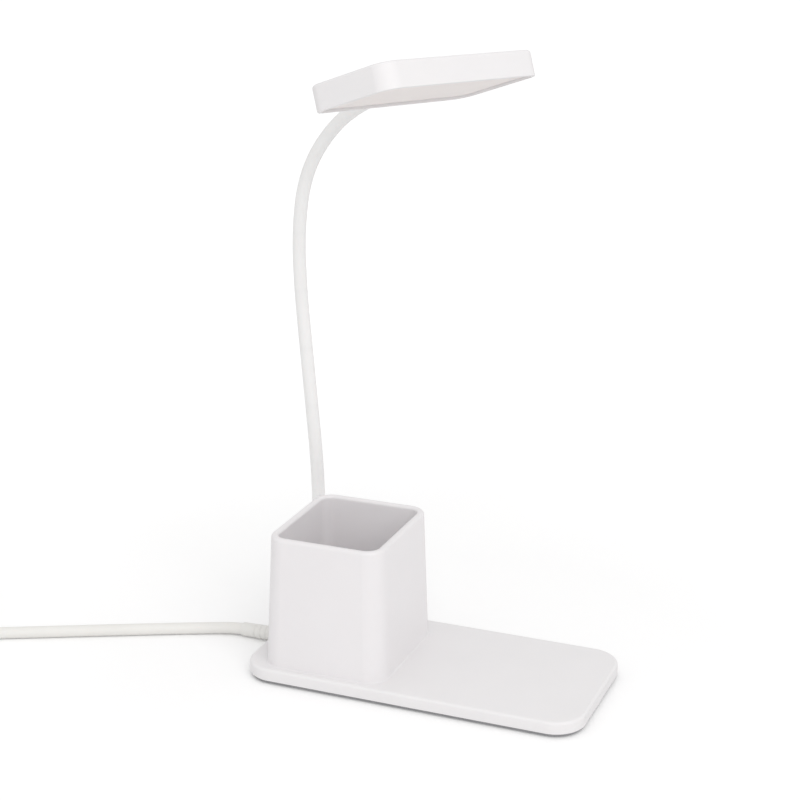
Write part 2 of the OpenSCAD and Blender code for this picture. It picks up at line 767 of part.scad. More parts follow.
module head_shell() {
    opening_w = head_w - 2 * head_wall;
    opening_d = head_d - 2 * head_wall;
    color([0.96, 0.95, 0.96]) at_head() difference() {
        union() {
            difference() {
                translate([head_d / 2, 0, -head_t / 2])
                    rolled_block(head_d, head_w, head_t, head_corner, head_edge);
                translate([head_d / 2, 0, ledge_z]) linear_extrude(head_ceiling_z - ledge_z)
                    rounded_rect(opening_d - 2 * head_ledge, opening_w - 2 * head_ledge,
                        head_corner - head_wall - head_ledge);
                translate([head_d / 2, 0, -head_t / 2 - 1]) linear_extrude(head_t / 2 + 1 + ledge_z)
                    rounded_rect(opening_d, opening_w, head_corner - head_wall);
            }
            for (p = led_screw_places)
                translate([p[0], p[1], led_board_z + led_board_t])
                    cylinder(h = head_ceiling_z - led_board_z - led_board_t + 0.4, d = boss_d);
        }
        for (p = led_screw_places)
            translate([p[0], p[1], led_board_z])
                cylinder(h = led_screw_len - reflector_t + loose, d = pilot_d);
        translate([-1, 0, 0]) rotate([0, 90, 0])
            cylinder(h = head_wall + head_ledge + 2, d = core_d + 4 * snug);
    }
}

module head_anchor() {
    from_x = head_wall + head_ledge + snug;
    color([0.7, 0.7, 0.72]) at_head() difference() {
        translate([from_x, -anchor_w / 2, -core_d / 2 - 0.5])
            cube([anchor_len - head_ledge - snug, anchor_w, head_ceiling_z + core_d / 2 + 0.5]);
        translate([0, 0, 0]) rotate([0, 90, 0])
            cylinder(h = head_wall + anchor_len + 2, d = core_d + 2 * snug);
    }
}

module led_board() {
    color([0.92, 0.92, 0.9]) at_head() difference() {
        translate([led_board_x, 0, led_board_z]) linear_extrude(led_board_t)
            rounded_rect(led_board_d, led_board_w, 1.5);
        for (p = led_screw_places)
            translate([p[0], p[1], led_board_z - 1])
                cylinder(h = led_board_t + 2, d = screw_d + 2 * loose);
    }
}

// Places of the lamps on the light board
function led_place(row, column) = [
    led_board_x + (row - (led_rows - 1) / 2) * led_pitch_x,
    (column - (led_columns - 1) / 2) * led_pitch_y
];

module leds() {
    color([0.95, 0.85, 0.45]) at_head()
        for (row = [0 : led_rows - 1], column = [0 : led_columns - 1])
            translate([led_place(row, column)[0] - led_side / 2,
                led_place(row, column)[1] - led_side / 2, led_board_z - led_h])
                cube([led_side, led_side, led_h]);
}

module reflector_sheet() {
    color([0.97, 0.97, 0.97]) at_head() difference() {
        translate([led_board_x, 0, led_board_z - reflector_t]) linear_extrude(reflector_t)
            rounded_rect(led_board_d, led_board_w, 1.5);
        for (row = [0 : led_rows - 1], column = [0 : led_columns - 1])
            translate([led_place(row, column)[0] - led_side / 2 - fit,
                led_place(row, column)[1] - led_side / 2 - fit, led_board_z - reflector_t - 1])
                cube([led_side + 2 * fit, led_side + 2 * fit, reflector_t + 2]);
        for (p = led_screw_places)
            translate([p[0], p[1], led_board_z - reflector_t - 1])
                cylinder(h = reflector_t + 2, d = screw_d + 2 * loose);
    }
}

module led_screws() {
    color([0.6, 0.6, 0.62]) at_head() for (p = led_screw_places)
        translate([p[0], p[1], led_board_z - reflector_t]) screw(led_screw_len);
}

module diffuser() {
    w = head_w - 2 * head_wall - 2 * fit;
    d = head_d - 2 * head_wall - 2 * fit;
    r = head_corner - head_wall - fit;
    color([0.93, 0.9, 0.88]) at_head() translate([head_d / 2, 0, ledge_z - diffuser_h]) difference() {
        linear_extrude(diffuser_h) rounded_rect(d, w, r);
        translate([0, 0, diffuser_t]) linear_extrude(diffuser_h)
            rounded_rect(d - 2 * diffuser_edge, w - 2 * diffuser_edge, r - diffuser_edge);
        translate([-d / 2 - 1, -anchor_w / 2 - fit, diffuser_h - core_d / 2 - 0.5])
            cube([diffuser_edge + 2, anchor_w + 2 * fit, core_d]);
    }
}

// ---- Cord ----

module cord_boot() {
    start = [left_x, cord_y, cord_z];
    run = boot_end - start;
    flange_h = ceiling_z - cover_z - 2 * fit;
    color([0.93, 0.92, 0.91]) difference() {
        union() {
            hull() {
                translate(start) rotate([0, 90, 0]) cylinder(h = 0.01, d = boot_d_big, $fn = 32);
                translate(boot_end) rotate([0, 90, atan2(run[1], run[0])])
                    cylinder(h = 0.5, d = boot_d_small, $fn = 32);
            }
            translate([left_x - 0.5, cord_y, cord_z]) rotate([0, 90, 0])
                cylinder(h = cover_side_t + 0.5 + 0.2, d = boot_d_neck);
            translate([left_x + cover_side_t + snug, cord_y - boot_flange_w / 2, cover_z + fit])
                cube([boot_flange_t - snug, boot_flange_w, flange_h]);
        }
        swept_tube([cord_start, boot_end, boot_end + run / 2], cord_d + 2 * snug, 16);
    }
}

module power_cord() {
    color([0.95, 0.95, 0.94]) swept_tube(concat([cord_start], cord_route), cord_d, cord_sides);
}

module cord_tail() {
    color([0.95, 0.95, 0.94]) swept_tube(tail_route, cord_d, cord_sides);
}

module cord_coil() {
    color([0.95, 0.95, 0.94]) translate([winding_middle[0], winding_middle[1], tie_t])
        rotate_extrude() translate([winding_radius - winding_width / 2, 0])
            square([winding_width, winding_layers * cord_d]);
}

module cord_tie() {
    window_w = winding_width + 2 * fit;
    window_h = winding_layers * cord_d + fit;
    turn = tie_w / winding_radius * deg;
    color([0.2, 0.2, 0.2]) translate([winding_middle[0], winding_middle[1], 0])
        rotate([0, 0, 90 - turn / 2]) rotate_extrude(angle = turn, $fn = 96)
            translate([winding_radius - window_w / 2 - tie_t, 0]) difference() {
                square([window_w + 2 * tie_t, window_h + 2 * tie_t]);
                translate([tie_t, tie_t]) square([window_w, window_h]);
            }
}

module plug_grip() {
    tip = 6;
    color([0.95, 0.95, 0.94]) translate([plug_x, plug_y, plug_z]) rotate([-90, 0, 0]) difference() {
        union() {
            translate([0, 0, tip]) linear_extrude(plug_len - tip) rounded_rect(plug_w, plug_h, 2.5);
            cylinder(h = tip, d = cord_d + 1.6);
        }
        translate([0, 0, plug_len - 3]) linear_extrude(4)
            square([shell_w + 2 * snug, shell_h + 2 * snug], center = true);
    }
}

module plug_shell() {
    color([0.8, 0.8, 0.82]) translate([plug_x, plug_y + plug_len - 3, plug_z]) rotate([-90, 0, 0])
        difference() {
            linear_extrude(shell_len + 3) square([shell_w, shell_h], center = true);
            translate([0, 0, 1]) linear_extrude(shell_len + 3)
                square([shell_w - 2 * shell_t, shell_h - 2 * shell_t], center = true);
        }
}

module plug_tongue() {
    tongue_t = 1.9;
    color([0.95, 0.95, 0.95])
        translate([plug_x - shell_w / 2 + shell_t + snug, plug_y + plug_len - 2 + snug,
            plug_z - shell_h / 2 + shell_t + snug])
            cube([shell_w - 2 * shell_t - 2 * snug, shell_len + 1, tongue_t]);
}

base_cover();
base_tray();
base_pad();
tray_screws();
ballast_plate();
pen_cup();
cup_screws();
charging_coil();
ferrite_sheet();
main_board();
board_parts();
touch_electrode();
touch_board();
neck_stem();
neck_nut();
neck_collar();
neck_sleeve(0);  // neck_sleeve_0
neck_sleeve(1);  // neck_sleeve_1
neck_sleeve(2);  // neck_sleeve_2
neck_sleeve(3);  // neck_sleeve_3
neck_sleeve(4);  // neck_sleeve_4
neck_sleeve(5);  // neck_sleeve_5
neck_sleeve(6);  // neck_sleeve_6
neck_sleeve(7);  // neck_sleeve_7
neck_sleeve(8);  // neck_sleeve_8
neck_core(0);  // neck_core_0
neck_core(1);  // neck_core_1
neck_core(2);  // neck_core_2
neck_core(3);  // neck_core_3
neck_core(4);  // neck_core_4
neck_core(5);  // neck_core_5
neck_core(6);  // neck_core_6
neck_core(7);  // neck_core_7
neck_core(8);  // neck_core_8
head_collar();
head_shell();
head_anchor();
led_board();
leds();
reflector_sheet();
led_screws();
diffuser();
cord_boot();
power_cord();
cord_coil();
cord_tail();
cord_tie();
plug_grip();
plug_shell();
plug_tongue();
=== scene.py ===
"""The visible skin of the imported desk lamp: a plate with a pen cup, a bendable neck and a flat head.

Sizes in the classes are millimetres in the row frame, as on the drawing: +X runs right along the
plate, +Y to its back edge, +Z up, and the origin is the middle of the plate's footprint. They become
metres where a mesh is settled into the scene.
"""

import json
import logging
import math
from dataclasses import dataclass, field
from enum import Enum
from typing import Callable, Iterable, Sequence

import bmesh
import bpy
from mathutils import Matrix, Vector


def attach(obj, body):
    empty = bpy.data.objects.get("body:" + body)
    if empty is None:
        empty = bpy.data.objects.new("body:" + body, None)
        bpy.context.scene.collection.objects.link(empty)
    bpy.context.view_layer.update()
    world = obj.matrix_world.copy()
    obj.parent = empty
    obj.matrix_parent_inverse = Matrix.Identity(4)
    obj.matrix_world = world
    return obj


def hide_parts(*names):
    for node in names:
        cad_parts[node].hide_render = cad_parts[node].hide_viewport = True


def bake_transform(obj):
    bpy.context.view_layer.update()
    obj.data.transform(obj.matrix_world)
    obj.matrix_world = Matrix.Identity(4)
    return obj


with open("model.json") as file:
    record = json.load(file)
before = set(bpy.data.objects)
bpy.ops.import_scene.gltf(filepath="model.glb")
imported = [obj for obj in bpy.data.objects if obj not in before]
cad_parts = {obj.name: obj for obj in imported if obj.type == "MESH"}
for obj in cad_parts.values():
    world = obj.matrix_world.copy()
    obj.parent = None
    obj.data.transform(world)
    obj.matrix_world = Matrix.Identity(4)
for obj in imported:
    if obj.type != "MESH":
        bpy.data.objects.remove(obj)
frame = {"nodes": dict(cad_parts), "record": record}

LOG = logging.getLogger("lamp")
MM = 0.001  # in metres
TO_METRES = Matrix.Scale(MM, 4)
FACING = 0.99  # the cosine past which a face looks in a direction
SAME_PLACE = 1e-5  # the distance within which points are one, in millimetres
SHARP_ANGLE = 38.0  # the angle past which an edge stays sharp, in degrees
NOISE_LOW, NOISE_HIGH = 0.3, 0.7  # the range in which most of a noise's values lie
UP = Vector((0, 0, 1))
DOWN = Vector((0, 0, -1))
WHITE = (1.0, 1.0, 1.0, 1.0)
Colour = tuple[float, float, float]
Point = tuple[float, float, float]
Socket = bpy.types.NodeSocket
Mesh = bmesh.types.BMesh
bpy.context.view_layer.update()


# ---- Finishes ----


class Grain(Enum):
    """The fine texture that a finish shows up close."""

    SPARKED = "the matt texture that a spark-eroded mould leaves"
    POLISHED = "a polished mould with faint flow and dust"
    DRAWN = "fine lines along a drawn or rolled metal"
    CAST = "the soft pits of a casting"
    WOVEN = "warp and weft of a strap"
    WOUND = "turns of wire round a middle"
    TRACED = "tracks under a board's lacquer"
    CRACKED = "the broken tiles of a ferrite sheet"
    PRISMED = "the dots of a light diffuser"


class Tree:
    """A material's node tree, with short calls that add and join nodes."""

    def __init__(self, name: str) -> None:
        """Makes an empty material.

        Args:
            name: the material's name.
        """
        self.material = bpy.data.materials.new(name)
        self.material.use_nodes = True
        self.nodes = self.material.node_tree.nodes
        self.links = self.material.node_tree.links
        self.nodes.clear()
        self.shader = self.add("ShaderNodeBsdfPrincipled")
        output = self.add("ShaderNodeOutputMaterial")
        self.join(self.shader.outputs["BSDF"], output.inputs["Surface"])
        self.coords = self.add("ShaderNodeTexCoord").outputs["Object"]

    def add(self, kind: str, **settings: object) -> bpy.types.Node:
        """Adds a node.

        Args:
            kind: the node's type name.
            settings: attributes of the node, or names of its input sockets in lower case.

        Returns:
            The new node.
        """
        node = self.nodes.new(kind)
        sockets = {s.name.lower().replace(" ", "_"): s for s in reversed(node.inputs)}
        for key, value in settings.items():
            if hasattr(node, key):
                setattr(node, key, value)
            else:
                sockets[key].default_value = value
        return node

    def join(self, source: Socket, target: Socket) -> None:
        """Links two sockets."""
        self.links.new(source, target)

    def placed(self, middle: Sequence[float], scale: Sequence[float] = (1, 1, 1)) -> Socket:
        """Object coordinates, in millimetres, measured from a middle.

        Args:
            middle: the point, in millimetres, that becomes the pattern's own origin.
            scale: how much the pattern is drawn out along each axis.

        Returns:
            The socket with the new coordinates.
        """
        node = self.add("ShaderNodeMapping", vector_type="POINT")
        factors = [s / MM for s in scale]
        node.inputs["Scale"].default_value = factors
        node.inputs["Location"].default_value = [-m * s for m, s in zip(middle, scale)]
        self.join(self.coords, node.inputs["Vector"])
        return node.outputs["Vector"]

    def noise(self, where: Socket, size: float, detail: float = 3.0) -> Socket:
        """Noise with features of a size in millimetres.

        Args:
            where: coordinates in millimetres.
            size: how far apart the features lie, in millimetres.
            detail: how many finer layers the noise has.

        Returns:
            The socket with the noise's value.
        """
        node = self.add("ShaderNodeTexNoise", scale=1.0 / size, detail=detail)
        self.join(where, node.inputs["Vector"])
        return node.outputs["Fac"]

    def vary(self, value: Socket, low: float, high: float) -> Socket:
        """Maps a value about 0.5 to a range.

        Args:
            value: a socket with values mostly from NOISE_LOW to NOISE_HIGH.
            low: the result at NOISE_LOW.
            high: the result at NOISE_HIGH.

        Returns:
            The socket with the mapped value.
        """
        node = self.add("ShaderNodeMapRange", from_min=NOISE_LOW, from_max=NOISE_HIGH,
                        to_min=low, to_max=high)
        self.join(value, node.inputs["Value"])
        return node.outputs["Result"]

    def math(self, operation: str, *values: float | Socket) -> Socket:
        """Applies a math node.

        Args:
            operation: the node's operation.
            values: what it works on, numbers or sockets.

        Returns:
            The socket with the result.
        """
        node = self.add("ShaderNodeMath", operation=operation)
        for value, target in zip(values, node.inputs):
            if isinstance(value, (int, float)):
                target.default_value = value
            else:
                self.join(value, target)
        return node.outputs[0]

    def mixed(self, first: Socket, second: Socket, share: float) -> Socket:
        """Mixes two values.

        Args:
            first: a socket.
            second: another socket.
            share: the share of the first; the second has the rest.

        Returns:
            The socket with the mixture.
        """
        first_part = self.math("MULTIPLY", first, share)
        second_part = self.math("MULTIPLY", second, 1.0 - share)
        return self.math("ADD", first_part, second_part)

    def tint(self, value: Socket, dark: Colour, light: Colour) -> None:
        """Gives the base colour a range between two colours.

        Args:
            value: a socket with values mostly from NOISE_LOW to NOISE_HIGH.
            dark: the colour at NOISE_LOW.
            light: the colour at NOISE_HIGH.
        """
        ramp = self.add("ShaderNodeValToRGB")
        first, last = ramp.color_ramp.elements
        first.position, last.position = NOISE_LOW, NOISE_HIGH
        first.color, last.color = (*dark, 1.0), (*light, 1.0)
        self.join(value, ramp.inputs["Fac"])
        self.join(ramp.outputs["Color"], self.shader.inputs["Base Color"])

    def raise_surface(self, height: Socket, depth: float) -> None:
        """Lets a height show as relief.

        Args:
            height: the socket with the height, from 0 to 1.
            depth: how far 0 and 1 lie apart, in millimetres.
        """
        bump = self.add("ShaderNodeBump", strength=1.0, distance=depth * MM)
        self.join(height, bump.inputs["Height"])
        self.join(bump.outputs["Normal"], self.shader.inputs["Normal"])


COAT_ROUGHNESS = 0.12
SHEEN_ROUGHNESS = 0.5
SCATTER_REACH = (0.003, 0.0026, 0.0024)  # of red, green and blue light, in metres
CLOUD_SIZE = 22.0  # how far apart the mottling's features lie, in millimetres
CLOUD_SHARE = 0.75  # the mottling's share of the tint; the grain has the rest
WAVE_PERIOD = 0.31  # a wave texture's period at a scale of 1


@dataclass(frozen=True)
class Finish:
    """What a surface is made of and how it was finished.

    Attributes:
        name: the material's name.
        slot: the record's material slot.
        colour: the base colour, linear.
        grain: the fine texture.
        size: how far apart the grain's features lie, in millimetres.
        depth: the grain's height, in millimetres.
        rough: the mean roughness.
        spread: how far the roughness varies to each side.
        shade: how much darker than the base colour the mottling gets, as a share.
        metal: 1 for a bare metal.
        coat: the weight of a clear coat.
        soft: the weight of light that enters and leaves near by.
        sheen: the weight of a soft bloom at grazing angles.
        middle: the middle of a pattern that has one, in millimetres.
    """

    name: str
    slot: str
    colour: Colour
    grain: Grain
    size: float = 0.5
    depth: float = 0.01
    rough: float = 0.4
    spread: float = 0.05
    shade: float = 0.03
    metal: float = 0.0
    coat: float = 0.0
    soft: float = 0.0
    sheen: float = 0.0
    middle: Point = (0.0, 0.0, 0.0)

    def material(self) -> bpy.types.Material:
        """The finish's material, made once.

        Returns:
            The material.
        """
        made = bpy.data.materials.get(self.name)
        return made if made else self._build()

    def _build(self) -> bpy.types.Material:
        """Makes the material from the grain's own pattern and an even mottling.

        Returns:
            The new material.
        """
        tree = Tree(self.name)
        shader = tree.shader
        shader.inputs["Metallic"].default_value = self.metal
        shader.inputs["Coat Weight"].default_value = self.coat
        shader.inputs["Coat Roughness"].default_value = COAT_ROUGHNESS
        shader.inputs["Subsurface Weight"].default_value = self.soft
        shader.inputs["Subsurface Radius"].default_value = SCATTER_REACH
        shader.inputs["Subsurface Scale"].default_value = 1.0
        shader.inputs["Sheen Weight"].default_value = self.sheen
        shader.inputs["Sheen Roughness"].default_value = SHEEN_ROUGHNESS
        patterns: dict[Grain, Callable[[Tree], Socket]] = {
            Grain.SPARKED: self._sparked,
            Grain.POLISHED: self._polished,
            Grain.DRAWN: self._drawn,
            Grain.CAST: self._cast,
            Grain.WOVEN: self._woven,
            Grain.WOUND: self._wound,
            Grain.TRACED: self._traced,
            Grain.CRACKED: self._cracked,
            Grain.PRISMED: self._prismed,
        }
        height = patterns[self.grain](tree)
        tree.raise_surface(height, self.depth)
        cloud = tree.noise(tree.placed(self.middle), CLOUD_SIZE)
        dark = tuple(c * (1 - self.shade) for c in self.colour)
        tree.tint(tree.mixed(cloud, height, CLOUD_SHARE), dark, self.colour)
        rough = tree.vary(cloud, self.rough - self.spread, self.rough + self.spread)
        tree.join(rough, shader.inputs["Roughness"])
        return tree.material

    def _sparked(self, tree: Tree) -> Socket:
        """Fine pits over coarser ones, which are three times as large.

        Args:
            tree: the material's node tree.

        Returns:
            The socket with the height, from 0 to 1.
        """
        where = tree.placed(self.middle)
        fine = tree.noise(where, self.size, detail=4.0)
        coarse = tree.noise(where, self.size * 3, detail=2.0)
        return tree.mixed(fine, coarse, share=0.7)

    def _polished(self, tree: Tree) -> Socket:
        """A faint swell with specks, twelve times as long as they are.

        Args:
            tree: the material's node tree.

        Returns:
            The socket with the height, from 0 to 1.
        """
        where = tree.placed(self.middle)
        swell = tree.noise(where, self.size * 12, detail=1.0)
        speck = tree.noise(where, self.size, detail=6.0)
        return tree.mixed(swell, speck, share=0.8)

    def _drawn(self, tree: Tree) -> Socket:
        """Noise drawn out along the row's X axis.

        Args:
            tree: the material's node tree.

        Returns:
            The socket with the height, from 0 to 1.
        """
        return tree.noise(tree.placed(self.middle, scale=(0.05, 1, 1)), self.size, detail=4.0)

    def _cast(self, tree: Tree) -> Socket:
        """Soft pits.

        Args:
            tree: the material's node tree.

        Returns:
            The socket with the height, from 0 to 1.
        """
        return tree.noise(tree.placed(self.middle), self.size, detail=5.0)

    def _woven(self, tree: Tree) -> Socket:
        """Crossed yarns: waves along all three axes, so that each face of a strap shows two sets.

        Args:
            tree: the material's node tree.

        Returns:
            The socket with the height, from 0 to 1.
        """
        where = tree.placed(self.middle)
        yarns = []
        for direction in ("X", "Y", "Z"):
            wave = tree.add("ShaderNodeTexWave", bands_direction=direction,
                            scale=WAVE_PERIOD / self.size, distortion=0.4)
            tree.join(where, wave.inputs["Vector"])
            yarns.append(wave.outputs["Fac"])
        crossed = tree.math("ADD", yarns[0], yarns[1])
        return tree.math("MULTIPLY", tree.math("ADD", crossed, yarns[2]), 0.33)

    def _wound(self, tree: Tree) -> Socket:
        """Rings round the middle.

        Args:
            tree: the material's node tree.

        Returns:
            The socket with the height, from 0 to 1.
        """
        wave = tree.add("ShaderNodeTexWave", wave_type="RINGS", rings_direction="Z",
                        scale=WAVE_PERIOD / self.size)
        tree.join(tree.placed(self.middle), wave.inputs["Vector"])
        return wave.outputs["Fac"]

    def _traced(self, tree: Tree) -> Socket:
        """Bricks of track width with lacquer between them.

        Args:
            tree: the material's node tree.

        Returns:
            The socket with the height, from 0 to 1.
        """
        brick = tree.add("ShaderNodeTexBrick", scale=1.0 / self.size, mortar_size=0.06, offset=0.4)
        tree.join(tree.placed(self.middle), brick.inputs["Vector"])
        return brick.outputs["Fac"]

    def _cracked(self, tree: Tree) -> Socket:
        """Cells with narrow gaps.

        Args:
            tree: the material's node tree.

        Returns:
            The socket with the height, from 0 to 1.
        """
        cell = tree.add("ShaderNodeTexVoronoi", feature="DISTANCE_TO_EDGE", scale=1.0 / self.size)
        tree.join(tree.placed(self.middle), cell.inputs["Vector"])
        steepness = 6.0
        return tree.math("MINIMUM", tree.math("MULTIPLY", cell.outputs["Distance"], steepness), 1.0)

    def _prismed(self, tree: Tree) -> Socket:
        """A field of small dots in nearly even rows.

        Args:
            tree: the material's node tree.

        Returns:
            The socket with the height, from 0 to 1.
        """
        cell = tree.add("ShaderNodeTexVoronoi", scale=1.0 / self.size, randomness=0.25)
        tree.join(tree.placed(self.middle), cell.inputs["Vector"])
        return tree.math("SUBTRACT", 1.0, cell.outputs["Distance"])


SHELL = Finish("moulded_white", "white_shell", (0.83, 0.815, 0.82), Grain.SPARKED, size=0.35, depth=0.006,
               rough=0.56, spread=0.04, shade=0.02, soft=0.04)
CUP = Finish("moulded_white_cup", "white_shell", (0.82, 0.80, 0.81), Grain.SPARKED, size=0.3, depth=0.005,
             rough=0.34, spread=0.04, shade=0.02, soft=0.04)
TRIM = Finish("polished_white", "white_trim", (0.82, 0.82, 0.82), Grain.POLISHED, size=0.6, depth=0.01,
              rough=0.25, spread=0.04, shade=0.02, soft=0.05)
# The tray's white slot gets dark grey here: painted shade that darkens the gap under the plate's edge.
TRAY_PAINTED_SHADE = Finish("matt_tray", "white_tray", (0.30, 0.30, 0.31), Grain.SPARKED, size=0.4, depth=0.02,
              rough=0.6, spread=0.05, shade=0.06)
SLEEVE = Finish("silicone_sleeve", "white_sleeve", (0.85, 0.845, 0.84), Grain.POLISHED, size=0.5, depth=0.012,
                rough=0.48, spread=0.06, shade=0.02, soft=0.08, sheen=0.08)
JACKET = Finish("cord_jacket", "white_cord", (0.83, 0.82, 0.79), Grain.POLISHED, size=0.4, depth=0.015,
                rough=0.46, spread=0.06, shade=0.03, soft=0.06)
PAD = Finish("pad_rubber", "grey_rubber", (0.09, 0.09, 0.095), Grain.PRISMED, size=1.6, depth=0.12,
             rough=0.75, spread=0.06, shade=0.2)
DIFFUSER = Finish("frosted_sheet", "frosted_diffuser", (0.88, 0.82, 0.80), Grain.PRISMED, size=0.9,
                  depth=0.02, rough=0.5, spread=0.04, shade=0.03, soft=0.25)
SCREW = Finish("screw_zinc", "screw_steel", (0.55, 0.55, 0.57), Grain.DRAWN, size=0.12, depth=0.01,
               rough=0.35, metal=1.0, shade=0.15)
ZINC = Finish("zinc_plate", "zinc_steel", (0.62, 0.62, 0.64), Grain.DRAWN, size=0.15, depth=0.006,
              rough=0.28, metal=1.0, shade=0.12)
NUT = Finish("nut_brass_bare", "nut_brass", (0.72, 0.55, 0.30), Grain.DRAWN, size=0.12, depth=0.008,
             rough=0.3, metal=1.0, shade=0.15)
ANCHOR = Finish("cast_alloy", "anchor_alloy", (0.62, 0.62, 0.64), Grain.CAST, size=0.5, depth=0.02,
                rough=0.45, metal=1.0, shade=0.12)
CORE = Finish("drawn_alloy", "core_alloy", (0.60, 0.60, 0.62), Grain.DRAWN, size=0.1, depth=0.006,
              rough=0.32, metal=1.0, shade=0.1)
WINDING = Finish("enamelled_wire", "copper_wire", (0.66, 0.30, 0.12), Grain.WOUND, size=0.9, depth=0.15,
                 rough=0.3, metal=1.0, shade=0.4, coat=0.6, middle=(35.75, 0.0, 6.0))
FERRITE = Finish("ferrite_tiles", "ferrite", (0.035, 0.035, 0.04), Grain.CRACKED, size=6.0, depth=0.03,
                 rough=0.5, shade=0.3)
LACQUER = Finish("board_lacquer", "green_board", (0.02, 0.16, 0.06), Grain.TRACED, size=1.6, depth=0.02,
                 rough=0.3, shade=0.35, coat=0.3)
WHITE_BOARD = Finish("white_lacquer", "white_board", (0.78, 0.78, 0.76), Grain.TRACED, size=2.5, depth=0.01,
                     rough=0.3, shade=0.04)
CHIP = Finish("chip_resin", "black_parts", (0.02, 0.02, 0.022), Grain.SPARKED, size=0.25, depth=0.01,
              rough=0.55, shade=0.2)
LAMP = Finish("phosphor", "yellow_lamps", (0.80, 0.58, 0.14), Grain.CAST, size=0.3, depth=0.01,
              rough=0.3, shade=0.1)
STRAP = Finish("strap_weave", "black_strap", (0.03, 0.03, 0.033), Grain.WOVEN, size=0.7, depth=0.12,
               rough=0.85, shade=0.4, sheen=0.3)

FINISH_OF_SLOT: dict[str, Finish] = {
    f.slot: f
    for f in (SHELL, TRIM, TRAY_PAINTED_SHADE, SLEEVE, JACKET, PAD, DIFFUSER, SCREW, ZINC, NUT, ANCHOR, CORE, WINDING,
              FERRITE, LACQUER, WHITE_BOARD, CHIP, LAMP, STRAP)
}


# ---- Shaping ----


def broadest(bm: Mesh, direction: Vector) -> bmesh.types.BMFace:
    """The largest face that looks in a direction.

    Args:
        bm: the mesh.
        direction: the way that the face looks.

    Returns:
        The face.
    """
    bm.normal_update()
    facing = [f for f in bm.faces if f.normal.dot(direction) > FACING]
    return max(facing, key=lambda f: f.calc_area())


def round_edges(bm: Mesh, edges: Iterable[bmesh.types.BMEdge], radius: float, segments: int) -> None:
    """Rounds edges.

    Args:
        bm: the mesh.
        edges: the edges to round.
        radius: the round's radius, in millimetres.
        segments: how many faces the round has.
    """
    bmesh.ops.bevel(bm, geom=list(edges), offset=radius, offset_type="OFFSET", segments=segments, profile=0.5,
                    affect="EDGES", clamp_overlap=True, material=-1)


def pillow_block(size: Sequence[float], middle: Sequence[float], corner: float, segments: int) -> Mesh:
    """A block whose upright edges are round.

    Args:
        size: width, depth and height, in millimetres.
        middle: the block's middle, in millimetres.
        corner: the radius of the upright edges, in millimetres.
        segments: how many faces each round has.

    Returns:
        The new mesh.
    """
    bm = bmesh.new()
    bmesh.ops.create_cube(bm, size=1.0, matrix=Matrix.Translation(middle) @ Matrix.Diagonal((*size, 1)))
    upright = [e for e in bm.edges if (e.verts[0].co - e.verts[1].co).xy.length < SAME_PLACE]
    round_edges(bm, upright, corner, segments)
    return bm


def roll_rim(bm: Mesh, direction: Vector, radius: float, segments: int) -> None:
    """Rounds the edge all round the broadest face that looks in a direction.

    Args:
        bm: the mesh.
        direction: the way that the face looks.
        radius: the round's radius, in millimetres.
        segments: how many faces the round has.
    """
    round_edges(bm, broadest(bm, direction).edges, radius, segments)


def sink(bm: Mesh, direction: Vector, wall: float, depth: float) -> bmesh.types.BMFace:
    """Hollows a solid from its broadest face that looks in a direction.

    Args:
        bm: the mesh.
        direction: the way that the face looks.
        wall: the width of the rim that stays, in millimetres.
        depth: how deep the hollow is, in millimetres.

    Returns:
        The hollow's floor.
    """
    face = broadest(bm, direction)
    bmesh.ops.inset_region(bm, faces=[face], thickness=wall, use_even_offset=True)
    floor = bmesh.ops.extrude_discrete_faces(bm, faces=[face])["faces"][0]
    bmesh.ops.translate(bm, vec=-direction * depth, verts=list(floor.verts))
    return floor


def turned(profile: Sequence[tuple[float, float]], segments: int) -> Mesh:
    """A solid of revolution round Z.

    Args:
        profile: the closed outline, as pairs of radius and height, in millimetres.
        segments: how many steps the turn has.

    Returns:
        The new mesh.
    """
    bm = bmesh.new()
    points = [bm.verts.new((r, 0.0, z)) for r, z in profile]
    edges = [bm.edges.new((a, b)) for a, b in zip(points, points[1:] + points[:1])]
    bmesh.ops.spin(bm, geom=points + edges, cent=(0, 0, 0), axis=(0, 0, 1), angle=math.tau, steps=segments,
                   use_merge=True, use_duplicate=False)
    bmesh.ops.remove_doubles(bm, verts=bm.verts, dist=SAME_PLACE)
    bmesh.ops.recalc_face_normals(bm, faces=bm.faces)
    return bm


def settle(name: str, bm: Mesh, finish: Finish, body: str | None = "base",
           replaced: Sequence[str] = (), place: Matrix | None = None,
           weighted: bool = True) -> bpy.types.Object:
    """Puts a finished mesh into the scene as a piece.

    Args:
        name: the piece's name.
        bm: the mesh in millimetres; it is used up.
        finish: what the piece is made of.
        body: the CAD body that it rides on, or None to leave it unattached.
        replaced: the CAD nodes that it stands for.
        place: where the mesh's own axes lie in the row frame, in millimetres.
        weighted: whether the flat faces keep their own shading.

    Returns:
        The new object.
    """
    bmesh.ops.transform(bm, matrix=TO_METRES @ (place or Matrix.Identity(4)), verts=bm.verts)
    bm.normal_update()
    for face in bm.faces:
        face.smooth = True
    for edge in bm.edges:
        edge.smooth = edge.is_manifold and edge.calc_face_angle() < math.radians(SHARP_ANGLE)
    mesh = bpy.data.meshes.new(name)
    bm.to_mesh(mesh)
    bm.free()
    piece = bpy.data.objects.new(name, mesh)
    bpy.context.scene.collection.objects.link(piece)
    mesh.materials.append(finish.material())
    if weighted:
        normals = piece.modifiers.new("flat_faces", "WEIGHTED_NORMAL")
        normals.keep_sharp = True
    if replaced:
        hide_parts(*replaced)
    if body:
        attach(piece, body)
    LOG.info("%s: %d faces", name, len(mesh.polygons))
    return piece


# ---- Stage ----


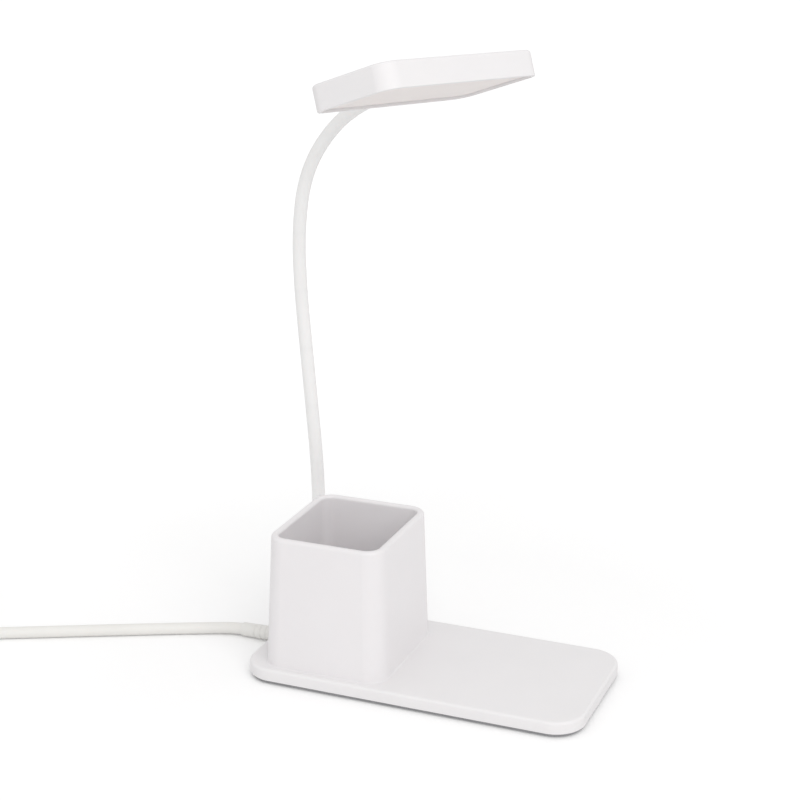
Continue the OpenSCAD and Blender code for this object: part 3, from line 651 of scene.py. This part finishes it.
@dataclass(frozen=True)
class Panel:
    """A soft square lamp.

    Attributes:
        name: the lamp's name.
        place: where it hangs, in metres.
        size: the side of its panel, in metres.
        power: its power, in watts.
        colour: its colour.
    """

    name: str
    place: Point
    size: float
    power: float
    colour: Colour


KEY = Panel("key", (0.9, -1.1, 1.3), 1.4, 11.9, (1.0, 0.99, 0.985))
FILL = Panel("fill", (-1.2, -0.7, 0.9), 1.6, 0.9, (1.0, 0.96, 0.98))


@dataclass
class Studio:
    """The camera, the lights and the pale floor.

    Attributes:
        eye: the camera's place, in metres.
        azimuth: how far the camera stands round to the right, in degrees.
        pitch: how far it looks down, in degrees.
        lens: its focal length, in millimetres.
        sensor: the width of its sensor, in millimetres.
        clip: the nearest and farthest distance that it sees, in metres.
        aim: the point that the lamps look at, in metres.
        sky: the strength of the even light from all round.
        floor_size: half the side of the floor, in metres.
        floor_colour: the floor's colour.
        glow: how much brighter the floor looks to the camera, near the lamp and far from it.
        glow_reach: the distances from the lamp at which it does so, in metres.
    """

    eye: Point = (0.27942, -0.73378, 0.39349)
    azimuth: float = 22.03
    pitch: float = 17.92
    lens: float = 80.44
    sensor: float = 36.0
    clip: tuple[float, float] = (0.05, 20.0)
    aim: Point = (0.0, 0.0, 0.12)
    sky: float = 0.79
    floor_size: float = 4.0
    floor_colour: Colour = (0.90, 0.90, 0.90)
    glow: tuple[float, float] = (0.12, 0.34)
    glow_reach: tuple[float, float] = (0.15, 0.7)

    def set_up(self) -> None:
        """Makes the camera, the floor, the sky and the lamps."""
        self._camera()
        self._floor()
        self._sky()
        self._lamp(KEY)
        self._lamp(FILL)
        bpy.context.scene.view_settings.view_transform = "Standard"

    def _camera(self) -> None:
        """Makes the camera at the photograph's viewpoint."""
        data = bpy.data.cameras.new("view")
        data.sensor_width, data.lens = self.sensor, self.lens
        data.clip_start, data.clip_end = self.clip
        camera = bpy.data.objects.new("view", data)
        camera.location = self.eye
        camera.rotation_euler = (math.radians(90 - self.pitch), 0.0, math.radians(self.azimuth))
        bpy.context.scene.collection.objects.link(camera)
        bpy.context.scene.camera = camera

    def _floor(self) -> None:
        """Makes a wide pale floor that keeps the lamp's shadow and looks white to the camera."""
        bm = bmesh.new()
        bmesh.ops.create_grid(bm, x_segments=2, y_segments=2, size=self.floor_size)
        mesh = bpy.data.meshes.new("floor")
        bm.to_mesh(mesh)
        bm.free()
        floor = bpy.data.objects.new("floor", mesh)
        bpy.context.scene.collection.objects.link(floor)
        tree = Tree("floor_pale")
        tree.shader.inputs["Base Color"].default_value = (*self.floor_colour, 1.0)
        tree.shader.inputs["Roughness"].default_value = 0.9
        tree.shader.inputs["Specular IOR Level"].default_value = 0.1
        path = tree.add("ShaderNodeLightPath")
        away = tree.add("ShaderNodeVectorMath", operation="LENGTH")
        tree.join(tree.coords, away.inputs[0])
        (start, end), (near, far) = self.glow_reach, self.glow
        reach = tree.add("ShaderNodeMapRange", from_min=start, from_max=end, to_min=near, to_max=far)
        tree.join(away.outputs["Value"], reach.inputs["Value"])
        lift = tree.math("MULTIPLY", path.outputs["Is Camera Ray"], reach.outputs["Result"])
        tree.shader.inputs["Emission Color"].default_value = WHITE
        tree.join(lift, tree.shader.inputs["Emission Strength"])
        mesh.materials.append(tree.material)

    def _sky(self) -> None:
        """Makes an even sky that the camera sees as white, also through clear pieces."""
        world = bpy.data.worlds.new("sky")
        bpy.context.scene.world = world
        world.use_nodes = True
        nodes, links = world.node_tree.nodes, world.node_tree.links
        nodes.clear()
        output = nodes.new("ShaderNodeOutputWorld")
        light, white = nodes.new("ShaderNodeBackground"), nodes.new("ShaderNodeBackground")
        light.inputs["Color"].default_value = white.inputs["Color"].default_value = WHITE
        light.inputs["Strength"].default_value = self.sky
        mix, path = nodes.new("ShaderNodeMixShader"), nodes.new("ShaderNodeLightPath")
        most = nodes.new("ShaderNodeMath")
        most.operation = "MAXIMUM"
        links.new(path.outputs["Is Camera Ray"], most.inputs[0])
        links.new(path.outputs["Is Transmission Ray"], most.inputs[1])
        links.new(most.outputs[0], mix.inputs["Fac"])
        links.new(light.outputs[0], mix.inputs[1])
        links.new(white.outputs[0], mix.inputs[2])
        links.new(mix.outputs[0], output.inputs["Surface"])

    def _lamp(self, panel: Panel) -> None:
        """Makes a soft square lamp that looks at the object.

        Args:
            panel: the lamp's place, size, power and colour.
        """
        data = bpy.data.lights.new(panel.name, "AREA")
        data.shape, data.size = "SQUARE", panel.size
        data.energy, data.color = panel.power, panel.colour
        lamp = bpy.data.objects.new(panel.name, data)
        lamp.location = panel.place
        sight = Vector(self.aim) - Vector(panel.place)
        lamp.rotation_euler = sight.to_track_quat("-Z", "Y").to_euler()
        bpy.context.scene.collection.objects.link(lamp)


# ---- Cord ----


@dataclass
class Plug:
    """The flat plug at the cord's end: a moulded grip, a folded metal shell and its tongue.

    Attributes:
        foot: where the cord enters the grip.
        grip: the grip's width and height, and the length of the grip with its collar.
        grip_corner: the radius of the grip's long edges.
        shell: the metal shell's width, height and length.
        shell_wall: the thickness of the shell's sheet.
        collar: the length of the ringed collar between the cord and the grip.
        rings: how many rings the collar has.
    """

    foot: Point = (-331.5, 12.5, 4.0)
    grip: tuple[float, float, float] = (15.0, 8.0, 29.0)
    grip_corner: float = 2.4
    shell: tuple[float, float, float] = (12.0, 4.5, 14.0)
    shell_wall: float = 0.35
    collar: float = 6.0
    rings: int = 3

    def build(self) -> list[bpy.types.Object]:
        """Makes the plug's pieces.

        Returns:
            The pieces.
        """
        place = Matrix.Translation(self.foot) @ Matrix.Rotation(math.radians(-90), 4, "X")
        return [self._grip(place), self._relief(place), self._shell(place), frame["nodes"]["plug_tongue"]]

    def _grip(self, place: Matrix) -> bpy.types.Object:
        """Makes the moulded grip.

        Args:
            place: the plug's own axes, with Z towards its tip.

        Returns:
            The grip.
        """
        width, height, length = self.grip
        bm = pillow_block((width, height, length - self.collar), (0, 0, (length + self.collar) / 2),
                          self.grip_corner, segments=8)
        roll_rim(bm, UP, 0.7, segments=3)
        roll_rim(bm, DOWN, 1.4, segments=4)
        face = broadest(bm, DOWN)
        bmesh.ops.inset_region(bm, faces=[face], thickness=0.6, use_even_offset=True)
        return settle("plug_grip_moulded", bm, TRIM, replaced=["plug_grip"], place=place)

    def _relief(self, place: Matrix) -> bpy.types.Object:
        """Makes the ringed collar between the cord and the grip.

        Args:
            place: the plug's own axes.

        Returns:
            The collar.
        """
        outline = [(3.05, 0.0), (3.4, 0.0)]
        for ring in range(self.rings):
            low = self.collar / self.rings * ring
            outline += [(3.8, low + 0.2), (3.8, low + 1.2), (3.45, low + 1.4), (3.45, low + 2.0)]
        outline += [(3.8, 6.1), (3.05, 6.1)]
        return settle("plug_relief", turned(outline, segments=40), TRIM, place=place)

    def _shell(self, place: Matrix) -> bpy.types.Object:
        """Makes the folded metal shell, which is open at its tip.

        Args:
            place: the plug's own axes.

        Returns:
            The shell.
        """
        width, height, length = self.shell
        rooted = 1.0
        middle = (0, 0, self.grip[2] + (length - rooted) / 2)
        bm = pillow_block((width, height, length + rooted), middle, corner=0.5, segments=3)
        sink(bm, UP, self.shell_wall, length)
        return settle("plug_shell_folded", bm, ZINC, replaced=["plug_shell"], place=place)


@dataclass
class PowerCord:
    """The captive cord: boot, free run, coil with its strap, and plug.

    Attributes:
        diameter: the jacket's diameter.
        length: the cord's full length.
        leaves: where it leaves the plate's left side.
        boot_end: where it leaves the boot.
        boot_floor: how far from the plate the boot's bore starts.
        boot_rings: how many rings the boot has.
        ring_pitch: how far the boot's rings lie apart.
        run: the middle line on the table, from the boot to the coil.
        coil_middle: the coil's middle on the table.
        outer: the radius of the coil's outermost turn.
        start_angle: where the run meets the coil, in degrees.
        end_angle: where the tail leaves it, after its turns, in degrees.
        coil_steps: how many steps the coil's middle line has.
        climb: the angle over which the cord climbs from the lower layer to the upper, in degrees.
        tail: the middle line from the coil to the plug.
        strap_wall: the thickness of the strap, which lifts the coil.
        strap_width: the width of the strap.
        strap_corner: the radius of the strap's corners.
        strap_slack: the gap between the strap and the coil's sides.
        plug: the plug at the end.
    """

    diameter: float = 6.0
    length: float = 1200.0
    leaves: Point = (-84.25, 3.4, 4.2)
    boot_end: Point = (-105.0, 4.0, 3.6)
    boot_floor: float = 1.0
    boot_rings: int = 4
    ring_pitch: float = 3.2
    run: tuple[Point, ...] = (
        (-110.5, 3.5, 3.3), (-115.5, 2.1, 3.1), (-120.7, 0.1, 3), (-126, -2.3, 3), (-131, -4.5, 3),
        (-140.2, -8.7, 3), (-151, -13.8, 3), (-163.1, -19.5, 3), (-176.7, -26, 3), (-190.3, -32.5, 3),
        (-203.9, -39, 3), (-217.4, -45.5, 3), (-231, -52, 3.1), (-245, -58.7, 3.3), (-259, -65.4, 3.6),
    )
    coil_middle: tuple[float, float] = (-290.2, -34.5)
    outer: float = 41.3
    start_angle: float = -64.5
    end_angle: float = -180.0 - 4 * 360.0
    coil_steps: int = 70
    climb: float = 110.0
    tail: tuple[Point, ...] = (
        (-331.5, -27.5, 9.8), (-331.5, -20.5, 9.4), (-331.5, -13.5, 8.1), (-331.5, -6.5, 6.4),
        (-331.5, 0.5, 5), (-331.5, 7.5, 4.2), (-331.5, 13.5, 4),
    )
    strap_wall: float = 0.8
    strap_width: float = 8.0
    strap_corner: float = 3.2
    strap_slack: float = 0.2
    plug: Plug = field(default_factory=Plug)

    def build(self) -> bpy.types.Object:
        """Makes the cord and all that is on it.

        Returns:
            The cord's own object.
        """
        boot = self._boot()
        strap = self._strap()
        plug_pieces = self.plug.build()
        cord = self._cord()
        return cord

    def _coil_points(self) -> list[Point]:
        """The middle line of the coil: a spiral inwards on the table and one outwards on top of it.

        Returns:
            Points from the end of the run to the start of the tail.
        """
        turn = self.start_angle - self.end_angle
        points = []
        for k in range(self.coil_steps + 1):
            done = turn * k / self.coil_steps
            inwards = min(done, turn - done)
            radius = self.outer - self.diameter * inwards / 360.0
            climbed = min(1.0, max(0.0, (done - turn / 2 + self.climb / 2) / self.climb))
            layer = climbed * climbed * (3 - 2 * climbed)
            angle = math.radians(self.start_angle - done)
            points.append((self.coil_middle[0] + radius * math.cos(angle),
                           self.coil_middle[1] + radius * math.sin(angle),
                           self.strap_wall + self.diameter * (0.5 + layer)))
        return points

    def _cord(self) -> bpy.types.Object:
        """Makes the jacket as one smooth curve.

        Returns:
            The curve object.
        """
        start = (self.leaves[0] - self.boot_floor, *self.leaves[1:])
        half_way = tuple((a + b) / 2 for a, b in zip(start, self.boot_end))
        points = [start, half_way, self.boot_end, *self.run, *self._coil_points(), *self.tail]
        data = bpy.data.curves.new("power_cord_jacket", "CURVE")
        data.dimensions = "3D"
        spline = data.splines.new("BEZIER")
        spline.bezier_points.add(len(points) - 1)
        for knot, point in zip(spline.bezier_points, points):
            knot.co = Vector(point) * MM
            knot.handle_left_type = knot.handle_right_type = "AUTO"
        data.bevel_depth = self.diameter / 2 * MM
        data.resolution_u = data.bevel_resolution = 5
        data.use_fill_caps = True
        cord = bpy.data.objects.new("power_cord_jacket", data)
        bpy.context.scene.collection.objects.link(cord)
        data.materials.append(JACKET.material())
        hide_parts("power_cord", "cord_coil", "cord_tail")
        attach(cord, "base")
        LOG.info("power_cord_jacket: %d points", len(points))
        return cord

    def _boot(self) -> bpy.types.Object:
        """Makes the tapered strain relief.

        Returns:
            The boot.
        """
        start, end = Vector(self.leaves), Vector(self.boot_end)
        reach, bore = (end - start).length, self.diameter / 2 + 0.05
        turn = (end - start).to_track_quat("Z", "Y").to_matrix().to_4x4()
        outline = [(0.0, -1.9), (2.9, -1.9), (2.9, 0.02), (3.6, 0.03), (3.74, 0.15), (3.8, 0.5)]
        for ring in range(self.boot_rings):
            low = 2.4 + self.ring_pitch * ring
            skirt = 3.8 - 0.02 * low
            groove = skirt - 0.25
            outline += [(skirt, low), (groove, low + 0.25), (groove, low + 0.9), (skirt - 0.02, low + 1.15)]
        outline += [(3.5, reach - 1.2), (3.42, reach - 0.4), (3.25, reach),
                    (bore, reach), (bore, self.boot_floor), (0.0, self.boot_floor)]
        bm = turned(outline, segments=48)
        bmesh.ops.transform(bm, matrix=Matrix.Translation(start) @ turn, verts=bm.verts)
        flange = Matrix.Translation(start + Vector((2.5, 0, 0))) @ Matrix.Diagonal((1.3, 9.0, 4.0, 1.0))
        bmesh.ops.create_cube(bm, size=1.0, matrix=flange)
        return settle("cord_boot_moulded", bm, JACKET, replaced=["cord_boot"], weighted=False)

    def _strap(self) -> bpy.types.Object:
        """Makes the strap that holds the coil together.

        Returns:
            The strap.
        """
        margin = self.diameter / 2 + self.strap_slack + self.strap_wall
        inwards = self.diameter * (self.start_angle - self.end_angle) / 720
        low, high = self.outer - inwards - margin, self.outer + margin
        tall = 2 * (self.diameter + self.strap_wall) + 0.15
        bm = pillow_block((high - low, tall, self.strap_width), ((low + high) / 2, tall / 2, 0.0),
                          self.strap_corner, segments=8)
        for side in (UP, DOWN):
            face = broadest(bm, side)
            bmesh.ops.inset_region(bm, faces=[face], thickness=self.strap_wall, use_even_offset=True)
        top, bottom = broadest(bm, UP), broadest(bm, DOWN)
        bmesh.ops.bridge_loops(bm, edges=list(top.edges) + list(bottom.edges))
        bmesh.ops.delete(bm, geom=[top, bottom], context="FACES_ONLY")
        bmesh.ops.recalc_face_normals(bm, faces=bm.faces)
        round_z, round_x = (Matrix.Rotation(math.radians(90), 4, axis) for axis in "ZX")
        upright = Matrix.Translation((*self.coil_middle, 0.0)) @ round_z @ round_x
        return settle("cord_strap", bm, STRAP, replaced=["cord_tie"], place=upright)


# ---- Plate ----


@dataclass
class Plate:
    """The thin base plate: its cover, and the rubber pad that it stands on.

    Attributes:
        width: the plate's width, left to right.
        depth: its depth, front to back.
        corner: the radius of its corners.
        low: the height of the skirt's lower edge.
        top: the height of the top face.
        edge: the radius of the rolled top edge.
        lower_edge: the radius of the skirt's lower edge.
        side_wall: the thickness of the cover's sides.
        top_wall: the thickness of its top.
        pad_inset: how far inside the plate's outline the pad ends.
        pad_height: the pad's height.
        pad_corner: the radius of the pad's corners.
    """

    width: float = 168.5
    depth: float = 82.0
    corner: float = 15.0
    low: float = 2.0
    top: float = 8.0
    edge: float = 1.4
    lower_edge: float = 0.35
    side_wall: float = 1.8
    top_wall: float = 1.6
    pad_inset: float = 5.0
    pad_height: float = 1.2
    pad_corner: float = 9.0

    def build(self) -> None:
        """Makes the cover and the pad."""
        height = self.top - self.low
        middle = (0, 0, self.low + height / 2)
        bm = pillow_block((self.width, self.depth, height), middle, self.corner, segments=20)
        roll_rim(bm, UP, self.edge, segments=6)
        roll_rim(bm, DOWN, self.lower_edge, segments=3)
        sink(bm, DOWN, self.side_wall - self.lower_edge, height - self.top_wall)
        settle("plate_cover", bm, SHELL, replaced=["base_cover"])
        bm = pillow_block((self.width - 2 * self.pad_inset, self.depth - 2 * self.pad_inset, self.pad_height),
                          (0, 0, self.pad_height / 2), self.pad_corner, segments=12)
        roll_rim(bm, DOWN, 0.4, segments=3)
        settle("plate_pad", bm, PAD, replaced=["base_pad"])


@dataclass
class PenCup:
    """The square cup that stands on the plate's left end.

    Attributes:
        middle: the middle of the cup's foot on the plate.
        foot: its width and depth at the plate.
        mouth: its width and depth at the rim.
        shift: how far the mouth lies behind the foot.
        low: the height of the plate's top.
        high: the height of the rim.
        corner: the radius of its upright edges.
        wall: the thickness of its wall.
        floor: the thickness of its floor.
        floor_round: the radius of the round between its floor and its walls.
        rim: the radius of the round on the rim.
        cove: the radius of the small cove where the cup meets the plate.
    """

    middle: tuple[float, float] = (-43.5, -2.25)
    foot: tuple[float, float] = (62.5, 69.5)
    mouth: tuple[float, float] = (58.0, 65.5)
    shift: float = 1.0
    low: float = 8.0
    high: float = 73.0
    corner: float = 10.0
    wall: float = 3.6
    floor: float = 3.2
    floor_round: float = 2.4
    rim: float = 1.5
    cove: float = 0.8

    def build(self) -> None:
        """Makes the cup."""
        height = self.high - self.low
        bm = pillow_block((*self.foot, height), (0, 0, height / 2), self.corner, segments=14)
        upper = [v for v in bm.verts if v.co.z > height / 2]
        lean = Vector((self.mouth[0] / self.foot[0], self.mouth[1] / self.foot[1], 1.0))
        bmesh.ops.scale(bm, vec=lean, verts=upper)
        bmesh.ops.translate(bm, vec=(0, self.shift, 0), verts=upper)
        floor = sink(bm, UP, self.wall, height - self.floor)
        share = self.floor / height
        inner_mouth = [m - 2 * self.wall for m in self.mouth]
        inner_floor = [f + (m - f) * share - 2 * self.wall for m, f in zip(self.mouth, self.foot)]
        spread = Vector((inner_floor[0] / inner_mouth[0], inner_floor[1] / inner_mouth[1], 1.0))
        bmesh.ops.translate(bm, vec=(0, -self.shift, 0), verts=list(floor.verts))
        bmesh.ops.scale(bm, vec=spread, verts=list(floor.verts))
        bmesh.ops.translate(bm, vec=(0, self.shift * share, 0), verts=list(floor.verts))
        round_edges(bm, floor.edges, self.floor_round, segments=5)
        topmost = [e for e in bm.edges if min(v.co.z for v in e.verts) > height - 1e-4]
        round_edges(bm, [e for e in topmost if e.calc_face_angle() > 0.5], self.rim, segments=6)
        self._flare(bm)
        settle("pen_cup_moulded", bm, CUP, replaced=["pen_cup"],
               place=Matrix.Translation((*self.middle, self.low)))

    def _flare(self, bm: Mesh) -> None:
        """Draws the foot out into a small cove.

        Args:
            bm: the cup's mesh, standing on z = 0.
        """
        steps = 3
        for k in range(1, steps + 1):
            cut = self.cove * k / steps
            bmesh.ops.bisect_plane(bm, geom=bm.verts[:] + bm.edges[:] + bm.faces[:], plane_co=(0, 0, cut),
                                   plane_no=UP, dist=1e-6)
        for vert in [v for v in bm.verts if v.co.z < self.cove - SAME_PLACE]:
            rest = self.cove - vert.co.z
            out = self.cove - math.sqrt(max(0.0, self.cove ** 2 - rest ** 2))
            vert.co.x *= 1 + out / (self.foot[0] / 2)
            vert.co.y *= 1 + out / (self.foot[1] / 2)


# ---- Neck ----


@dataclass
class Neck:
    """The bendable neck: one sleeve in eight pieces that meet at the joints between the lengths.

    Attributes:
        root: the foot of the middle line, on the stem's flange.
        lean_to: the direction in which the neck leans over, in degrees from +X.
        radius: the sleeve's radius.
        lengths: the length of each arc of the middle line.
        bends: the bend of each arc, in the direction in which the neck leans over, in degrees.
        sideways: the turn of the last arc and the head out of the neck's plane, in degrees.
        fixed: how many of the arcs belong to the base.
        reach: the distance to each side of a joint at which places on the middle line are found; they are not
            used.
        sides: how many sides the sleeve's round has.
        step: how far the sleeve's rings lie apart, nearly.
        tip: how far the sleeve goes on past its last arc.
    """

    root: Point = (-76.45, 32.0, 9.0)
    lean_to: float = -25.0
    radius: float = 3.25
    lengths: tuple[float, ...] = (32.8, 32.8) + (29.0,) * 8
    bends: tuple[float, ...] = (5, -7, -5, 0, 0, 5, 13, 27, 18, 15.5)
    sideways: float = 3.75
    fixed: int = 2
    reach: float = 14.4
    sides: int = 40
    step: float = 1.6
    tip: float = 0.4

    def tilt(self, arc: int, along: float = 0.0) -> float:
        """How far the middle line leans from upright, in radians.

        Args:
            arc: the arc's number, from 0 at the foot.
            along: the distance from the arc's start, in millimetres.

        Returns:
            The angle.
        """
        whole = sum(self.bends[:arc])
        part = self.bends[arc] * along / self.lengths[arc] if arc < len(self.bends) else 0.0
        return math.radians(whole + part)

    def place(self, arc: int, along: float = 0.0) -> Matrix:
        """A place on the middle line, with Z along it and X towards the bend.

        Args:
            arc: the arc's number.
            along: the distance from the arc's start, in millimetres.

        Returns:
            The place as a matrix, in millimetres.
        """
        across = height = 0.0
        for number in range(arc + 1):
            reach = along if number == arc else self.lengths[number]
            if not reach:
                continue
            first, last = self.tilt(number), self.tilt(number, reach)
            if abs(last - first) < 1e-9:
                across, height = across + reach * math.sin(first), height + reach * math.cos(first)
            else:
                radius = reach / (last - first)
                across += radius * (math.cos(first) - math.cos(last))
                height += radius * (math.sin(last) - math.sin(first))
        turn = Matrix.Rotation(math.radians(self.lean_to), 4, "Z")
        lean = Matrix.Rotation(self.tilt(arc, along), 4, "Y")
        place = Matrix.Translation(self.root) @ turn @ Matrix.Translation((across, 0, height)) @ lean
        last = len(self.lengths) - 1
        if arc < last:
            return place
        hinge = self.place(last - 1, self.lengths[last - 1])
        return hinge @ Matrix.Rotation(math.radians(-self.sideways), 4, "X") @ hinge.inverted() @ place

    def head_place(self) -> Matrix:
        """The head's own axes: X away from the neck and Z to the head's top."""
        return self.place(len(self.lengths)) @ Matrix.Rotation(math.radians(-90), 4, "Y")

    def _stations(self, start: tuple[int, float], end: tuple[int, float]) -> list[Matrix]:
        """Places along the middle line, close enough for a smooth tube.

        Args:
            start: the first arc and the distance along it.
            end: the last arc and the distance along it.

        Returns:
            The places.
        """
        found = []
        for arc in range(start[0], end[0] + 1):
            low = start[1] if arc == start[0] else 0.0
            high = end[1] if arc == end[0] else self.lengths[arc]
            count = max(1, round((high - low) / self.step))
            found += [self.place(arc, low + (high - low) * k / count) for k in range(count)]
        return found + [self.place(*end)]

    def _tube(self, stations: Sequence[Matrix]) -> Mesh:
        """A closed tube through places on the middle line.

        Args:
            stations: the places.

        Returns:
            The new mesh.
        """
        bm = bmesh.new()
        bmesh.ops.create_circle(bm, cap_ends=True, segments=self.sides, radius=self.radius,
                                matrix=stations[0])
        edges = list(bm.edges)
        for before, after in zip(stations, stations[1:]):
            grown = bmesh.ops.extrude_edge_only(bm, edges=edges)["geom"]
            ring = [g for g in grown if isinstance(g, bmesh.types.BMVert)]
            edges = [g for g in grown if isinstance(g, bmesh.types.BMEdge)]
            bmesh.ops.transform(bm, matrix=after @ before.inverted(), verts=ring)
        bmesh.ops.edgeloop_fill(bm, edges=edges)
        bmesh.ops.recalc_face_normals(bm, faces=bm.faces)
        return bm

    def build(self) -> None:
        """Makes the sleeve's pieces and the collar at the foot."""
        moving = len(self.lengths) - self.fixed
        for joint in range(moving):
            arc = joint + self.fixed
            half = self.lengths[arc] / 2
            start = (0, 0.0) if joint == 0 else (arc - 1, self.lengths[arc - 1] / 2)
            end = (arc, self.lengths[arc] + self.tip) if joint == moving - 1 else (arc, half)
            replaced = [f"neck_sleeve_{joint}", f"neck_core_{joint}"]
            if joint == moving - 1:
                replaced += [f"neck_sleeve_{moving}", f"neck_core_{moving}"]
            bm = self._tube(self._stations(start, end))
            piece = settle(f"neck_sleeve_part_{joint + 1}", bm, SLEEVE, body=None, replaced=replaced,
                           weighted=False)
            before = self.place(arc - 1, self.lengths[arc - 1] - self.reach)
            after = self.place(arc, self.reach)
            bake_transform(piece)
        self._collar()

    def _collar(self) -> None:
        """Makes the collar round the neck's foot."""
        outline = [(3.45, 0.0), (3.9, 0.0), (4.0, 0.15), (4.0, 1.7), (3.97, 2.1), (3.85, 5.4), (3.76, 5.8),
                   (3.6, 6.0), (3.46, 5.9)]
        flange = 1.0
        place = Matrix.Translation((self.root[0], self.root[1], self.root[2] - flange))
        settle("neck_foot_collar", turned(outline, segments=48), TRIM, replaced=["neck_collar"], place=place)


# ---- Head ----


@dataclass
class Head:
    """The flat head: a shell that is open below, and the diffuser recessed in it.

    Attributes:
        depth: the head's size away from the neck.
        width: its size across the neck.
        thickness: its thickness.
        corner: the radius of its corners.
        wall: the shell's wall.
        edge: the radius of the shell's rolled top edge.
        lower_edge: the radius of the shell's lower edge.
        recess: how far the diffuser's face lies inside the rim.
        ledge: the height of the ledge over the diffuser, from the head's middle plane.
        ledge_width: the ledge's width.
        gap: the gap round the diffuser.
        diffuser_rim: the width of the diffuser's raised rim.
        diffuser_wall: the thickness of the diffuser inside its rim.
        collar_length: the length of the collar at the neck.
    """

    depth: float = 50.0
    width: float = 99.0
    thickness: float = 12.0
    corner: float = 8.5
    wall: float = 1.8
    edge: float = 1.6
    lower_edge: float = 0.5
    recess: float = 1.2
    ledge: float = -0.2
    ledge_width: float = 1.2
    gap: float = 0.25
    diffuser_rim: float = 1.0
    diffuser_wall: float = 1.4
    collar_length: float = 5.0

    def build(self, place: Matrix) -> None:
        """Makes the head's outer pieces.

        Args:
            place: the head's own axes.
        """
        self._shell(place)
        self._diffuser(place)
        self._collar(place)

    def _shell(self, place: Matrix) -> None:
        """Makes the shell.

        Args:
            place: the head's own axes.
        """
        size = (self.depth, self.width, self.thickness)
        bm = pillow_block(size, (self.depth / 2, 0, 0), self.corner, segments=18)
        roll_rim(bm, UP, self.edge, segments=6)
        roll_rim(bm, DOWN, self.lower_edge, segments=4)
        half = self.thickness / 2
        ledge_face = sink(bm, DOWN, self.wall - self.lower_edge, half + self.ledge)
        bmesh.ops.inset_region(bm, faces=[ledge_face], thickness=self.ledge_width, use_even_offset=True)
        roof = bmesh.ops.extrude_discrete_faces(bm, faces=[ledge_face])["faces"][0]
        bmesh.ops.translate(bm, vec=(0, 0, half - self.wall - self.ledge), verts=list(roof.verts))
        settle("head_shell_moulded", bm, SHELL, body="head", replaced=["head_shell"], place=place)

    def _diffuser(self, place: Matrix) -> None:
        """Makes the diffuser.

        Args:
            place: the head's own axes.
        """
        low, high = -self.thickness / 2 + self.recess, self.ledge
        inset = 2 * (self.wall + self.gap)
        size = (self.depth - inset, self.width - inset, high - low)
        middle = (self.depth / 2, 0, (low + high) / 2)
        bm = pillow_block(size, middle, self.corner - inset / 2, segments=14)
        roll_rim(bm, DOWN, 0.5, segments=4)
        sink(bm, UP, self.diffuser_rim, high - low - self.diffuser_wall)
        settle("head_diffuser_frosted", bm, DIFFUSER, body="head", replaced=["diffuser"], place=place)

    def _collar(self, place: Matrix) -> None:
        """Makes the collar between the neck and the head.

        Args:
            place: the head's own axes.
        """
        long = self.collar_length
        outline = [(3.42, 0.3), (3.5, 0.05), (3.75, 0.0), (4.1, 0.3), (4.6, 2.6), (5.0, long - 0.2),
                   (5.05, long), (3.42, long)]
        axis = place @ Matrix.Translation((-long, 0, 0)) @ Matrix.Rotation(math.radians(90), 4, "Y")
        settle("head_neck_collar", turned(outline, segments=48), TRIM, body="head", replaced=["head_collar"],
               place=axis)


# ---- All of it ----


class DeskLamp:
    """The whole lamp: its pieces are made in order and the CAD nodes that still show are dressed."""

    def __init__(self) -> None:
        """Sets out the sub-assemblies."""
        self.cord = PowerCord()
        self.plate = Plate()
        self.cup = PenCup()
        self.neck = Neck()
        self.head = Head()

    def build(self) -> None:
        """Makes every piece."""
        self.cord.build()
        self.plate.build()
        self.cup.build()
        self.neck.build()
        self.head.build(self.neck.head_place())
        self._dress_nodes()

    def _dress_nodes(self) -> None:
        """Gives each CAD node that still shows the finish of its slot."""
        slots = {part["node"]: part["material_slot"] for part in frame["record"]["subparts"]}
        for name, node in frame["nodes"].items():
            if not node.hide_render:
                node.data.materials.clear()
                node.data.materials.append(FINISH_OF_SLOT[slots[name]].material())


def main() -> None:
    """Builds the studio and the lamp."""
    logging.basicConfig(level=logging.INFO, format="%(name)s: %(message)s")
    Studio().set_up()
    DeskLamp().build()


if __name__ == "__main__":
    main()
